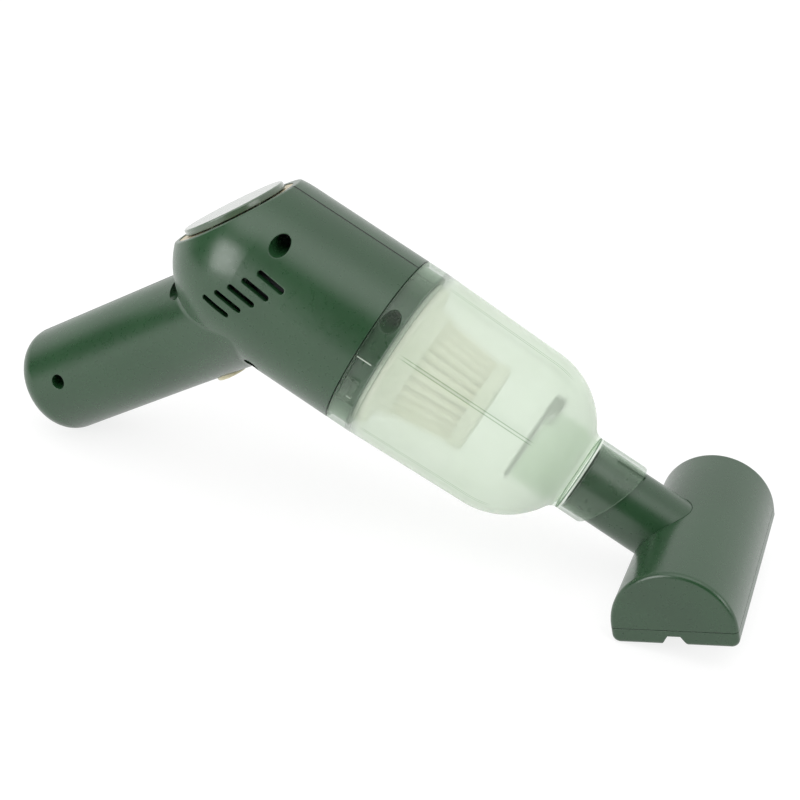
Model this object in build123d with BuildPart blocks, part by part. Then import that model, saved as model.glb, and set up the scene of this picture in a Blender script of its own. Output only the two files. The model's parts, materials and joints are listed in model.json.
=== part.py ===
from build123d import *

# Cordless handheld vacuum cleaner: barrel and grip, see-through dust cup and a wide brush head.
# It stands on the round end of its grip and on the heel of its sole, with the nose down.
# Row frame: +X towards the nozzle, +Z up, the origin under the middle of the box that holds it.
# On the body's own side plane, u runs along the barrel's axis towards the nozzle, from the joint
# between housing and cup, and t runs towards the barrel's top.

import os
from math import asin, atan2, cos, hypot, pi, radians, sin, sqrt

os.makedirs("parts", exist_ok=True)

# Clearances
gap = 0.3
fit = 0.05
seam_gap = 0.5

# Housing: barrel, domed rear, grip and the flat that carries the exhaust
barrel_radius = 36.0
wall = 2.2
dome_setback = 53.3
grip_setback = 37.9
grip_angle = 55.0
grip_radius = 22.85
grip_tail = 22.8
grip_end_round = 9.5
grip_blend = 4.0
flare_start = 16.0
flare_end = 76.0
flare_rise = 9.9
flat_round = 1.0

# Front spigot that the cup's rim slides over, and the bore for the filter
cup_wall = 2.1
spigot_length = 8.8
spigot_radius = barrel_radius - cup_wall - gap
bore_radius = 20.8
bore_wall = 1.8
bore_depth = 1.0

# Bayonet: a recess in the spigot on each side, and a lug of the cup in it
bayonet_turn = 15.0
lug_low = -19.5
lug_arc = 19.0
lug_start = 1.4
lug_length = 5.2
lug_height = 1.3
lug_slit_angle = -13.6
lug_slit_width = 0.8
lug_slit_length = 2.3
recess_margin = 0.8
recess_slack = 2.0

# Screws of the housing: wells open to the right, bosses on the left
well_wall = 1.3
screw_radius = 1.5
screw_head_radius = 2.8
screw_head_height = 2.0
screw_reach = 8.0
screw_slot = 0.8
well_floor = 4.0
spigot_well_floor = 10.0
end_well_radius = 3.1

# Vents: a row of slots that steps along with the slanted flat
vent_count = 5
vent_length = 12.4
vent_width = 2.4
vent_pitch = 6.27
vent_middle = (-47.4, 4.5)
vent_tilt = -6.0
vent_room = (12.0, 27.0)

# Exhaust: ring in the flat, foam under it and a cap on pips over it
exhaust_drop = 9.7
ring_margin = 2.67
ring_thickness = 1.5
ring_recess = 0.4
ring_slot_width = 3.0
ring_slot_arc = 44.0
ring_slot_count = 6
inner_slot_radius = 9.0
cap_margin = 3.4
cap_thickness = 2.45
cap_gap = 0.7
cap_round = 0.7
pip_count = 6
pip_radius = 0.9
pip_margin = 2.0
slot_margin = 5.3
peg_radius = 3.0
foam_margin = 3.7
foam_thickness = 3.0
foam_lip = 1.5
seat_lip = 0.6
seat_rim = 2.2

# Power button and what it presses
button_station = 46.9
button_radius = 7.0
button_top = 23.7
button_travel = 1.2
button_flange = 8.3
flange_thickness = 1.4
button_edge = 0.8
guide_wall = 1.6
guide_bottom = 17.3
plunger_radius = 1.7
switch_size = 6.0
switch_height = 2.6
board_thickness = 1.2
board_width = 27.0
board_start = 31.0
board_end = 61.0
chip_size = 6.0
chip_height = 1.2
chip_station = 57.0
rail_thickness = 1.4
rail_grip = 0.9
rail_start = 52.0
rail_length = 8.0

# Battery in the grip
cell_radius = 9.15
cell_length = 65.0
cell_start = 42.0
cell_end_gap = 1.0
cell_spacing = 18.8
cradle_width = 33.0
cradle_bottom = 11.4
cradle_top = 4.0
cradle_margin = 4.0
tab_thickness = 0.2
tab_width = 8.0

# Charging socket in the end of the grip
socket_width = 9.0
socket_height = 3.2
socket_length = 7.3
socket_wall = 0.3
socket_tongue = 0.7
socket_inset = 0.4
charge_board_length = 12.0
charge_board_width = 12.0
ledge_thickness = 2.0

# Fan
shroud_margin = 2.6
shroud_wall = 1.6
shroud_inlet = 11.0
plate_thickness = 1.6
plate_back = 19.9
plate_slot_margin = 5.2
plate_slot_width = 2.4
plate_slot_arc = 32.0
plate_slot_count = 8
impeller_margin = 2.6
impeller_disc = 1.2
impeller_back = 16.9
impeller_front = 4.2
impeller_hub = 4.0
blade_count = 9
blade_thickness = 1.2
blade_root = 9.0
blade_sweep = 38.0
blade_bow = 1.5
guard_thickness = 1.6
guard_bar = 1.6
guard_rings = (6.5, 13.0)

# Motor
motor_radius = 17.5
motor_length = 35.0
can_wall = 1.0
can_front = 2.0
motor_boss = 6.5
boss_length = 1.5
shaft_radius = 1.58
shaft_fit = 0.07
bush_radius = 3.0
bush_length = 4.0
magnet_thickness = 2.6
magnet_length = 22.0
magnet_gap = 11.0
armature_radius = 12.8
armature_length = 20.0
armature_slots = 5
armature_slot_width = 2.6
armature_slot_depth = 7.0
commutator_radius = 5.0
commutator_length = 3.0
plate_screw_circle = 12.0
plate_screw_radius = 1.2
plate_screw_head = 2.2
plate_screw_head_height = 0.9
plate_screw_reach = 2.5
bell_thickness = 3.0
terminal_length = 4.0
terminal_width = 3.0
terminal_thickness = 0.8
terminal_spacing = 10.0
mount_thickness = 3.0
mount_width = 5.0
mount_lip = 1.2
mount_stations = (-27.0, -51.8)
web_thickness = 1.6
web_hole_radius = 4.6
web_hole_count = 6
lead_radius = 0.8
lead_bend = 2.6
lead_station = 40.5
lead_offset = 4.8

# Dust cup
cup_taper_end = 61.0
cup_taper = 1.8
shoulder_drop = 1.2
neck_radius = 15.8
neck_wall = 1.5
neck_fillet = 4.5
rim_top = 113.9
rim_bottom = 101.5
duct_end = 70.8
rib_count = 6
rib_start = 12.3
rib_end = 72.0
rib_height = 0.6
rib_thickness = 1.6

# Inlet flap
flap_radius = 16.4
flap_thickness = 1.3
pin_radius = 0.75
pin_length = 15.2
pin_height = 18.2
pin_setback = 1.6
knuckle_radius = 1.6
knuckle_width = 10.0
ear_width = 2.0

# Filter
seal_margin = 3.7
seal_edge = 2.9
seal_thickness = 1.5
plug_start = 1.5
plug_wall = 2.4
flange_inset = 0.6
filter_flange = 2.2
cone_start_radius = 23.2
cone_end_radius = 18.0
filter_end = 50.3
base_band = 6.9
end_band = 5.8
band_step = 0.8
end_cap_round = 1.2
pleat_count = 28
pleat_depth = 4.2
paper_thickness = 0.9
gasket_width = 1.6
gasket_depth = 1.2
gasket_station = 4.6

# Nozzle tube and brush head
tube_radius = 14.0
tube_wall = 1.8
tube_start = 95.0
tube_end = 139.0
key_width = 1.6
key_height = 0.9
key_start = 102.5
key_length = 12.0
head_centre = (149.1, -4.0)
sole_angle = 39.0
head_radius = 22.8
head_width = 94.0
head_wall = 2.0
head_edge = 2.0
seam_drop = 0.4
seam_line = 0.2
sole_drop = 6.65
heel_round = 3.0
sole_floor = 2.0
mouth_width = 12.0
mouth_length = 74.0
mouth_frame = 2.0
notch_top = 4.6
notch_bottom = 9.8
notch_height = 3.9
sole_end_wall = 4.0
sole_screw_spot = (14.0, 34.0)
sole_screw_radius = 1.3
sole_screw_head = 2.6
sole_screw_head_height = 1.3
sole_screw_reach = 6.0
sole_screw_inset = 0.5
sole_post = 3.4
sole_pad = 4.6
sole_pad_rise = 1.5

# Directions on the side plane, as (u, t)
grip_cos = cos(radians(grip_angle))
grip_sin = sin(radians(grip_angle))
sole_cos = cos(radians(sole_angle))
sole_sin = sin(radians(sole_angle))

# Sizes that follow from the ones above
end_well_station = cell_start + cell_length + tab_thickness + cell_end_gap + well_wall + end_well_radius
grip_length = end_well_station + grip_tail
exhaust_flat = barrel_radius
flat_radius = sqrt(barrel_radius**2 - (exhaust_flat - (dome_setback - grip_setback) * grip_sin) ** 2)
ring_radius = flat_radius - ring_margin
ring_slot_radius = ring_radius - cap_margin - slot_margin
cap_radius = ring_radius - cap_margin
pip_circle = cap_radius - pip_margin
foam_radius = ring_radius - foam_margin
shroud_radius = barrel_radius - wall - shroud_margin
impeller_radius = shroud_radius - shroud_wall - impeller_margin
plate_slot_radius = shroud_radius - plate_slot_margin
web_hole_circle = (barrel_radius - wall + motor_radius + mount_thickness) / 2
shoulder_start_radius = barrel_radius - cup_taper
shoulder_radius = shoulder_start_radius - shoulder_drop
seal_inner = bore_radius + seal_margin
seal_outer = barrel_radius - cup_wall - seal_edge
flange_radius = seal_outer - flange_inset


def grip_point(station, offset):
    """Point on the side plane, station along the grip's axis and offset towards its front."""
    return (-grip_setback - grip_cos * station + grip_sin * offset, -grip_sin * station - grip_cos * offset)


def head_point(toe, up):
    """Point on the side plane, from the brush head's axis towards its toe and up from its sole."""
    return (head_centre[0] + sole_cos * toe - sole_sin * up, head_centre[1] + sole_sin * toe + sole_cos * up)


# Stance: the ground line touches the grip's end round and the heel's corner round
end_station = grip_length - grip_end_round
end_offset = grip_radius - grip_end_round
rest_rear = grip_point(end_station, end_offset)
rest_front = head_point(heel_round - head_radius, heel_round - sole_drop)
rest_du = rest_front[0] - rest_rear[0]
rest_dt = rest_front[1] - rest_rear[1]
nose_down = atan2(rest_dt, rest_du) + asin((grip_end_round - heel_round) / hypot(rest_du, rest_dt))
ground = (cos(nose_down), sin(nose_down))
rise = (-sin(nose_down), cos(nose_down))
axis_height = grip_end_round - rest_rear[0] * rise[0] - rest_rear[1] * rise[1]
rear_round = grip_point(end_station, -end_offset)
toe_round = head_point(head_radius - heel_round, heel_round - sole_drop)
rear_reach = rear_round[0] * ground[0] + rear_round[1] * ground[1] - grip_end_round
front_reach = max(
    toe_round[0] * ground[0] + toe_round[1] * ground[1] + heel_round,
    head_centre[0] * ground[0] + head_centre[1] * ground[1] + head_radius,
)
axis_shift = -(rear_reach + front_reach) / 2

# Planes and axes in the row frame
forward = Vector(ground[0], 0, rise[0])
top = Vector(ground[1], 0, rise[1])
right = Vector(0, -1, 0)
across_x = Vector(0, 1, 0)
joint_centre = Vector(axis_shift, 0, axis_height)
side = Plane(origin=joint_centre, x_dir=forward, z_dir=right)
barrel_axis = Axis(joint_centre, forward)


def at(point):
    """Point of the side plane in the row frame."""
    return joint_centre + forward * point[0] + top * point[1]


def across(u):
    """Plane square to the barrel's axis, x to the left and y to the top."""
    return Plane(origin=at((u, 0)), x_dir=across_x, z_dir=forward)


grip_down = forward * -grip_cos + top * -grip_sin
grip_front = forward * grip_sin + top * -grip_cos
grip_side = Plane(origin=at((-grip_setback, 0)), x_dir=grip_down, z_dir=right)
sole_toe = forward * sole_cos + top * sole_sin
sole_up = forward * -sole_sin + top * sole_cos
head_side = Plane(origin=at(head_centre), x_dir=sole_toe, z_dir=right)
head_axis = Axis(at(head_centre), right)


def grip_section(station):
    """Plane square to the grip's axis, x to the left and y to the grip's front."""
    return Plane(origin=at(grip_point(station, 0)), x_dir=across_x, z_dir=grip_down)


def grip_face(offset, station=0.0):
    """Plane square to the grip's front direction, x to the left and y up along the grip."""
    return Plane(origin=at(grip_point(station, offset)), x_dir=across_x, z_dir=grip_front)


def exhaust_face(height):
    """Plane over the slanted flat, centred on the exhaust, facing away from the grip's axis."""
    return Plane(origin=at(grip_point(exhaust_drop, -height)), x_dir=across_x, z_dir=grip_front * -1)


def sole_face(up):
    """Plane along the sole, seen from above, x to the left and y to the heel."""
    return Plane(origin=at(head_point(0, up)), x_dir=across_x, z_dir=sole_up)


def facing_right(y):
    """Side plane moved to y, facing the right."""
    return Plane(origin=joint_centre + across_x * y, x_dir=forward, z_dir=right)


def mid(a, b, centre):
    """Middle point of the arc from a to b about centre."""
    start = atan2(a[1] - centre[1], a[0] - centre[0])
    end = atan2(b[1] - centre[1], b[0] - centre[0])
    radius = hypot(a[0] - centre[0], a[1] - centre[1])
    half = (start + end) / 2
    return (centre[0] + radius * cos(half), centre[1] + radius * sin(half))


# Housing


def grip_half_width(station, inset):
    """Half width of the grip, which flares sideways into the barrel."""
    share = max(0.0, (flare_end - station) / (flare_end - flare_start))
    return grip_radius - inset + flare_rise * share**2


def barrel_form(inset):
    """Form of barrel, dome and spigot, drawn in by inset."""
    radius = barrel_radius - inset
    neck = spigot_radius - inset
    dome_rear = (-dome_setback - radius, 0)
    dome_top = (-dome_setback, radius)
    with BuildPart() as form:
        with BuildSketch(side):
            with BuildLine():
                ThreePointArc(dome_rear, mid(dome_rear, dome_top, (-dome_setback, 0)), dome_top)
                Polyline(
                    dome_top,
                    (-inset, radius),
                    (-inset, neck),
                    (spigot_length - inset, neck),
                    (spigot_length - inset, 0),
                    dome_rear,
                )
            make_face()
        revolve(axis=barrel_axis)
    return form.part


def grip_form(inset):
    """Form of the grip, drawn in by inset."""
    flare_steps = 5
    with BuildPart() as form:
        for step in range(flare_steps + 1):
            station = flare_start + (flare_end - flare_start) * step / flare_steps
            with BuildSketch(grip_section(station)):
                Ellipse(grip_half_width(station, inset), grip_radius - inset)
        loft()
        with BuildSketch(grip_section(flare_end)):
            Circle(grip_radius - inset)
        extrude(amount=grip_length - inset - flare_end)
        end_face = form.faces().sort_by(Axis(joint_centre, grip_down))[-1]
        fillet(end_face.edges(), radius=grip_end_round - inset)
    return form.part


def housing_form(inset):
    """Form of barrel, dome, spigot and grip, drawn in by inset, blended where the outside meets."""
    barrel = barrel_form(inset)
    grip = grip_form(inset)
    with BuildPart() as form:
        add(barrel)
        add(grip)
        if inset == 0:
            fillet(new_edges(barrel, grip, combined=form.part), radius=grip_blend)
        with BuildSketch(exhaust_face(exhaust_flat - inset)):
            Circle(2 * barrel_radius)
        extrude(amount=barrel_radius, mode=Mode.SUBTRACT)
        if inset == 0:
            flat_face = form.faces().sort_by(Axis(joint_centre, grip_front * -1))[-1]
            fillet(flat_face.edges(), radius=flat_round)
    return form.part


housing_outer = housing_form(0)
housing_inner = housing_form(wall)
wall_middle = housing_form(wall / 2)

big_well = (-45.0, barrel_radius - 10.6, 3.6, well_floor)
under_well = (-35.0, 8.4 - barrel_radius, 3.5, well_floor)
root_well = (*grip_point(42.4, 3.65 - grip_radius), 3.3, well_floor)
end_well = (*grip_point(end_well_station, -3.6), end_well_radius, well_floor)
spigot_well = (4.3, 23.6, 3.4, spigot_well_floor)
wells = (big_well, under_well, root_well, end_well, spigot_well)
reach = 2 * barrel_radius
flange_top = guide_bottom - gap
flange_bottom = flange_top - flange_thickness
switch_top = flange_bottom - button_travel - gap
board_top = switch_top - switch_height
board_bottom = board_top - board_thickness
charge_board_top = -socket_height / 2 - fit
charge_board_bottom = charge_board_top - board_thickness
charge_board_end = grip_length - wall - fit
charge_board_start = charge_board_end - charge_board_length
ring_top = exhaust_flat - ring_recess
ring_bottom = ring_top - ring_thickness
foam_bottom = ring_bottom - foam_thickness
seat_bottom = foam_bottom - seat_lip
ledge_top = charge_board_bottom - fit
ledge_height = grip_radius + ledge_top

# Shell of the housing, with its vents and bayonet recesses
recess_start = 180 - (lug_low + lug_arc + bayonet_turn + recess_slack)
recess_arc = lug_arc + bayonet_turn + recess_slack + recess_margin
with BuildPart() as shell:
    add(housing_outer)
    add(housing_inner, mode=Mode.SUBTRACT)
    with BuildSketch(side):
        for step in range(vent_count):
            along = (step - (vent_count - 1) / 2) * vent_pitch
            with Locations((vent_middle[0] + grip_cos * along, vent_middle[1] + grip_sin * along)):
                SlotOverall(vent_length, vent_width, rotation=vent_tilt)
    extrude(amount=reach, both=True, mode=Mode.SUBTRACT)
    for turn in (0, 180):
        with BuildSketch(across(lug_start - gap)):
            with BuildLine():
                recess_out = CenterArc((0, 0), barrel_radius, recess_start + turn, recess_arc)
                recess_in = CenterArc((0, 0), spigot_radius - lug_height, recess_start + turn, recess_arc)
                Line(recess_out @ 0, recess_in @ 0)
                Line(recess_out @ 1, recess_in @ 1)
            make_face()
        extrude(amount=spigot_length, mode=Mode.SUBTRACT)

# Fittings moulded inside the two half shells
with BuildPart() as fittings:
    # screw bosses
    for u, t, radius, floor in wells:
        with BuildSketch(side):
            with Locations((u, t)):
                Circle(radius + well_wall)
        extrude(amount=reach, both=True)
    # webs that carry the motor's rubber rings, with holes for the air
    for station in mount_stations:
        with BuildSketch(across(station - web_thickness / 2)):
            Circle(barrel_radius)
            Circle(motor_radius + mount_thickness, mode=Mode.SUBTRACT)
            with PolarLocations(web_hole_circle, web_hole_count):
                Circle(web_hole_radius, mode=Mode.SUBTRACT)
            # room behind the vents
            with Locations((-barrel_radius, vent_middle[1]), (barrel_radius, vent_middle[1])):
                Rectangle(2 * vent_room[0], vent_room[1], mode=Mode.SUBTRACT)
        extrude(amount=web_thickness)
    # ring behind the fan's plate
    with BuildSketch(across(-plate_back - web_thickness)):
        Circle(barrel_radius)
        Circle(plate_slot_radius + plate_slot_width, mode=Mode.SUBTRACT)
    extrude(amount=web_thickness)
    # room for the control board
    with BuildSketch(grip_face(board_bottom - gap, (board_start + board_end) / 2)):
        Rectangle(board_width + 2 * gap, board_end - board_start + 2 * gap)
    extrude(amount=board_thickness + chip_height + 2 * gap, mode=Mode.SUBTRACT)
    # tube round the filter's bore
    with BuildSketch(across(-bore_depth)):
        Circle(bore_radius + bore_wall)
        Circle(bore_radius, mode=Mode.SUBTRACT)
    extrude(amount=bore_depth + spigot_length)
    # seat of the exhaust ring and its foam
    with BuildSketch(exhaust_face(seat_bottom)):
        Circle(ring_radius + seat_rim)
        Circle(foam_radius - foam_lip, mode=Mode.SUBTRACT)
    extrude(amount=exhaust_flat - seat_bottom)
    # guide of the power button
    with BuildSketch(grip_face(guide_bottom, button_station)):
        Circle(button_radius + gap + guide_wall)
    extrude(amount=grip_radius - guide_bottom)
    # rails over and under the control board
    rail_width = grip_radius + flare_rise - board_width / 2 + rail_grip
    rail_middle = board_width / 2 - rail_grip + rail_width / 2
    with BuildSketch(grip_section(rail_start)):
        for way in (-1, 1):
            with Locations((way * rail_middle, board_top + fit + rail_thickness / 2)):
                Rectangle(rail_width, rail_thickness)
            with Locations((way * rail_middle, board_bottom - fit - rail_thickness / 2)):
                Rectangle(rail_width, rail_thickness)
    extrude(amount=rail_length)
    # ledge under the charging board
    with BuildSketch(grip_section(charge_board_start)):
        with Locations((0, ledge_top - ledge_height / 2)):
            Rectangle(charge_board_width, ledge_height)
    extrude(amount=ledge_thickness)
    add(wall_middle, mode=Mode.INTERSECT)

# Both halves of the housing with all their holes
with BuildPart() as housing:
    add(shell.part)
    add(fittings.part)
    # bore for the filter's plug
    with BuildSketch(across(-bore_depth)):
        Circle(bore_radius)
    extrude(amount=bore_depth + spigot_length, mode=Mode.SUBTRACT)
    # wells for the screws' heads, and holes for the screws
    for u, t, radius, floor in wells:
        with BuildSketch(facing_right(-floor)):
            with Locations((u, t)):
                Circle(radius)
        extrude(amount=reach, mode=Mode.SUBTRACT)
        with BuildSketch(facing_right(screw_reach)):
            with Locations((u, t)):
                Circle(screw_radius + fit)
        extrude(amount=screw_reach + floor, mode=Mode.SUBTRACT)
    # exhaust: seat of the ring, pocket of the foam and the hole under it
    with BuildSketch(exhaust_face(ring_bottom)):
        Circle(ring_radius + fit)
    extrude(amount=barrel_radius, mode=Mode.SUBTRACT)
    with BuildSketch(exhaust_face(foam_bottom)):
        Circle(foam_radius + fit)
    extrude(amount=barrel_radius, mode=Mode.SUBTRACT)
    # hole of the power button
    with BuildSketch(grip_face(guide_bottom, button_station)):
        Circle(button_radius + gap)
    extrude(amount=barrel_radius, mode=Mode.SUBTRACT)
    # opening of the charging socket
    with BuildSketch(grip_section(charge_board_end)):
        Rectangle(socket_width + 2 * fit, socket_height + 2 * fit)
    extrude(amount=barrel_radius, mode=Mode.SUBTRACT)

with BuildPart() as housing_right:
    add(housing.part)
    split(bisect_by=side, keep=Keep.TOP)
housing_right.part.label = "housing_right"
export_step(housing_right.part, "parts/housing_right.step")

with BuildPart() as housing_left:
    add(housing.part)
    split(bisect_by=side, keep=Keep.BOTTOM)
housing_left.part.label = "housing_left"
export_step(housing_left.part, "parts/housing_left.step")

# Screws of the housing, one at the bottom of each well
with BuildPart() as housing_screws:
    for u, t, radius, floor in wells:
        with BuildSketch(facing_right(-floor)):
            with Locations((u, t)):
                Circle(screw_head_radius)
        extrude(amount=screw_head_height)
        with BuildSketch(facing_right(screw_reach)):
            with Locations((u, t)):
                Circle(screw_radius)
        extrude(amount=screw_reach + floor)
        with BuildSketch(facing_right(-floor - screw_head_height)):
            with Locations((u, t)):
                Rectangle(screw_head_radius, screw_slot)
                Rectangle(screw_slot, screw_head_radius)
        extrude(amount=-screw_slot, mode=Mode.SUBTRACT)
housing_screws.part.label = "housing_screws"
export_step(housing_screws.part, "parts/housing_screws.step")

# Exhaust

# Slotted ring in the flat
with BuildPart() as exhaust_ring:
    with BuildSketch(exhaust_face(ring_bottom)):
        Circle(ring_radius)
        Circle(peg_radius + fit, mode=Mode.SUBTRACT)
    extrude(amount=ring_thickness)
    slot_line = Edge.make_circle(ring_slot_radius, start_angle=0, end_angle=ring_slot_arc)
    inner_slot_line = Edge.make_circle(inner_slot_radius, start_angle=0, end_angle=ring_slot_arc / 2)
    with BuildSketch(exhaust_face(ring_bottom)):
        with PolarLocations(0, ring_slot_count):
            SlotArc(arc=slot_line, height=ring_slot_width)
            SlotArc(arc=inner_slot_line, height=ring_slot_width)
    extrude(amount=ring_thickness, mode=Mode.SUBTRACT)
exhaust_ring.part.label = "exhaust_ring"
export_step(exhaust_ring.part, "parts/exhaust_ring.step")

# Round cap on pips, with a peg in the ring's middle
cap_bottom = ring_top + cap_gap
with BuildPart() as exhaust_cap:
    with BuildSketch(exhaust_face(cap_bottom)):
        Circle(cap_radius)
    extrude(amount=cap_thickness)
    cap_face = exhaust_cap.faces().sort_by(Axis(joint_centre, grip_front * -1))[-1]
    fillet(cap_face.edges(), radius=cap_round)
    with BuildSketch(exhaust_face(ring_top)):
        with PolarLocations(pip_circle, pip_count):
            Circle(pip_radius)
    extrude(amount=cap_gap)
    with BuildSketch(exhaust_face(ring_bottom)):
        Circle(peg_radius)
    extrude(amount=ring_thickness + cap_gap)
exhaust_cap.part.label = "exhaust_cap"
export_step(exhaust_cap.part, "parts/exhaust_cap.step")

with BuildPart() as exhaust_foam:
    with BuildSketch(exhaust_face(foam_bottom)):
        Circle(foam_radius)
    extrude(amount=foam_thickness)
exhaust_foam.part.label = "exhaust_foam"
export_step(exhaust_foam.part, "parts/exhaust_foam.step")

# Power button and electronics

with BuildPart() as power_button:
    with BuildSketch(grip_face(flange_bottom, button_station)):
        Circle(button_flange)
    extrude(amount=flange_thickness)
    with BuildSketch(grip_face(flange_top, button_station)):
        Circle(button_radius)
    extrude(amount=button_top - flange_top)
    button_face = power_button.faces().sort_by(Axis(joint_centre, grip_front))[-1]
    fillet(button_face.edges(), radius=button_edge)
power_button.part.label = "power_button"
export_step(power_button.part, "parts/power_button.step")

with BuildPart() as switch_plunger:
    with BuildSketch(grip_face(board_top + gap + button_travel, button_station)):
        Circle(plunger_radius)
    extrude(amount=flange_bottom - board_top - gap - button_travel)
switch_plunger.part.label = "switch_plunger"
export_step(switch_plunger.part, "parts/switch_plunger.step")

with BuildPart() as power_switch:
    with BuildSketch(grip_face(board_top, button_station)):
        Rectangle(switch_size, switch_size)
        Circle(plunger_radius + gap, mode=Mode.SUBTRACT)
    extrude(amount=switch_height)
power_switch.part.label = "power_switch"
export_step(power_switch.part, "parts/power_switch.step")

with BuildPart() as control_board:
    with BuildSketch(grip_face(board_bottom, (board_start + board_end) / 2)):
        Rectangle(board_width, board_end - board_start)
    extrude(amount=board_thickness)
    with BuildSketch(grip_face(board_top, chip_station)):
        Rectangle(chip_size, chip_size)
    extrude(amount=chip_height)
control_board.part.label = "control_board"
export_step(control_board.part, "parts/control_board.step")

# Battery: two cells side by side on a cradle, joined by a tab at each end
with BuildPart() as battery_cell_left:
    with BuildSketch(grip_section(cell_start)):
        with Locations((cell_spacing / 2, 0)):
            Circle(cell_radius)
    extrude(amount=cell_length)
battery_cell_left.part.label = "battery_cell_left"
export_step(battery_cell_left.part, "parts/battery_cell_left.step")

with BuildPart() as battery_cell_right:
    with BuildSketch(grip_section(cell_start)):
        with Locations((-cell_spacing / 2, 0)):
            Circle(cell_radius)
    extrude(amount=cell_length)
battery_cell_right.part.label = "battery_cell_right"
export_step(battery_cell_right.part, "parts/battery_cell_right.step")

with BuildPart() as battery_holder:
    with BuildSketch(grip_section(cell_start + cradle_margin)):
        with Locations((0, (cradle_top - cradle_bottom) / 2)):
            Rectangle(cradle_width, cradle_top + cradle_bottom)
        with Locations((-cell_spacing / 2, 0), (cell_spacing / 2, 0)):
            Circle(cell_radius + fit, mode=Mode.SUBTRACT)
        for way in (-1, 1):
            with Locations((way * cradle_width / 2, cradle_top / 2)):
                Rectangle(cell_spacing / 2, cradle_top, mode=Mode.SUBTRACT)
    extrude(amount=cell_length - 2 * cradle_margin)
battery_holder.part.label = "battery_holder"
export_step(battery_holder.part, "parts/battery_holder.step")

with BuildPart() as battery_tab_top:
    with BuildSketch(grip_section(cell_start - tab_thickness)):
        SlotCenterToCenter(cell_spacing, tab_width)
    extrude(amount=tab_thickness)
battery_tab_top.part.label = "battery_tab_top"
export_step(battery_tab_top.part, "parts/battery_tab_top.step")

with BuildPart() as battery_tab_bottom:
    with BuildSketch(grip_section(cell_start + cell_length)):
        SlotCenterToCenter(cell_spacing, tab_width)
    extrude(amount=tab_thickness)
battery_tab_bottom.part.label = "battery_tab_bottom"
export_step(battery_tab_bottom.part, "parts/battery_tab_bottom.step")

# Charging socket on its board, in the flat end of the grip
socket_end = grip_length - socket_inset
with BuildPart() as charging_socket:
    with BuildSketch(grip_section(socket_end - socket_length)):
        SlotOverall(socket_width, socket_height)
    extrude(amount=socket_length)
    with BuildSketch(grip_section(socket_end - socket_length + socket_wall)):
        SlotOverall(socket_width - 2 * socket_wall, socket_height - 2 * socket_wall)
    extrude(amount=socket_length, mode=Mode.SUBTRACT)
    with BuildSketch(grip_section(socket_end - socket_length)):
        Rectangle(socket_width - 2 * socket_height / 2, socket_tongue)
    extrude(amount=socket_length - socket_inset)
charging_socket.part.label = "charging_socket"
export_step(charging_socket.part, "parts/charging_socket.step")

with BuildPart() as charging_board:
    with BuildSketch(grip_section(charge_board_start)):
        with Locations((0, (charge_board_top + charge_board_bottom) / 2)):
            Rectangle(charge_board_width, board_thickness)
    extrude(amount=charge_board_length)
charging_board.part.label = "charging_board"
export_step(charging_board.part, "parts/charging_board.step")

# Fan

shroud_front = bore_depth + gap
plate_front = plate_back - plate_thickness

# Grid pressed in the bore in front of the fan
with BuildPart() as intake_guard:
    with BuildSketch(across(-guard_thickness / 2)):
        Circle(bore_radius - fit)
        Circle(bore_radius - fit - guard_bar, mode=Mode.SUBTRACT)
        for ring in guard_rings:
            Circle(ring + guard_bar)
            Circle(ring, mode=Mode.SUBTRACT)
        Rectangle(2 * bore_radius - 2 * guard_bar, guard_bar)
        Rectangle(guard_bar, 2 * bore_radius - 2 * guard_bar)
    extrude(amount=guard_thickness)
intake_guard.part.label = "intake_guard"
export_step(intake_guard.part, "parts/intake_guard.step")

with BuildPart() as fan_shroud:
    with BuildSketch(across(-shroud_front)):
        Circle(shroud_radius)
    extrude(amount=shroud_front - plate_front)
    with BuildSketch(across(-shroud_front - shroud_wall)):
        Circle(shroud_radius - shroud_wall)
    extrude(amount=-plate_front, mode=Mode.SUBTRACT)
    with BuildSketch(across(-shroud_front)):
        Circle(shroud_inlet)
    extrude(amount=-shroud_wall, mode=Mode.SUBTRACT)
fan_shroud.part.label = "fan_shroud"
export_step(fan_shroud.part, "parts/fan_shroud.step")

with BuildPart() as fan_plate:
    plate_slot_line = Edge.make_circle(plate_slot_radius, start_angle=0, end_angle=plate_slot_arc)
    with BuildSketch(across(-plate_back)):
        Circle(shroud_radius)
        Circle(motor_boss + fit, mode=Mode.SUBTRACT)
        with PolarLocations(0, plate_slot_count):
            SlotArc(arc=plate_slot_line, height=plate_slot_width, mode=Mode.SUBTRACT)
        with PolarLocations(plate_screw_circle, 2):
            Circle(plate_screw_radius + fit, mode=Mode.SUBTRACT)
    extrude(amount=plate_thickness)
fan_plate.part.label = "fan_plate"
export_step(fan_plate.part, "parts/fan_plate.step")

with BuildPart() as fan_plate_screws:
    with BuildSketch(across(-plate_front)):
        with PolarLocations(plate_screw_circle, 2):
            Circle(plate_screw_head)
    extrude(amount=plate_screw_head_height)
    with BuildSketch(across(-plate_front)):
        with PolarLocations(plate_screw_circle, 2):
            Circle(plate_screw_radius)
    extrude(amount=-plate_thickness - plate_screw_reach)
fan_plate_screws.part.label = "fan_plate_screws"
export_step(fan_plate_screws.part, "parts/fan_plate_screws.step")

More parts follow.
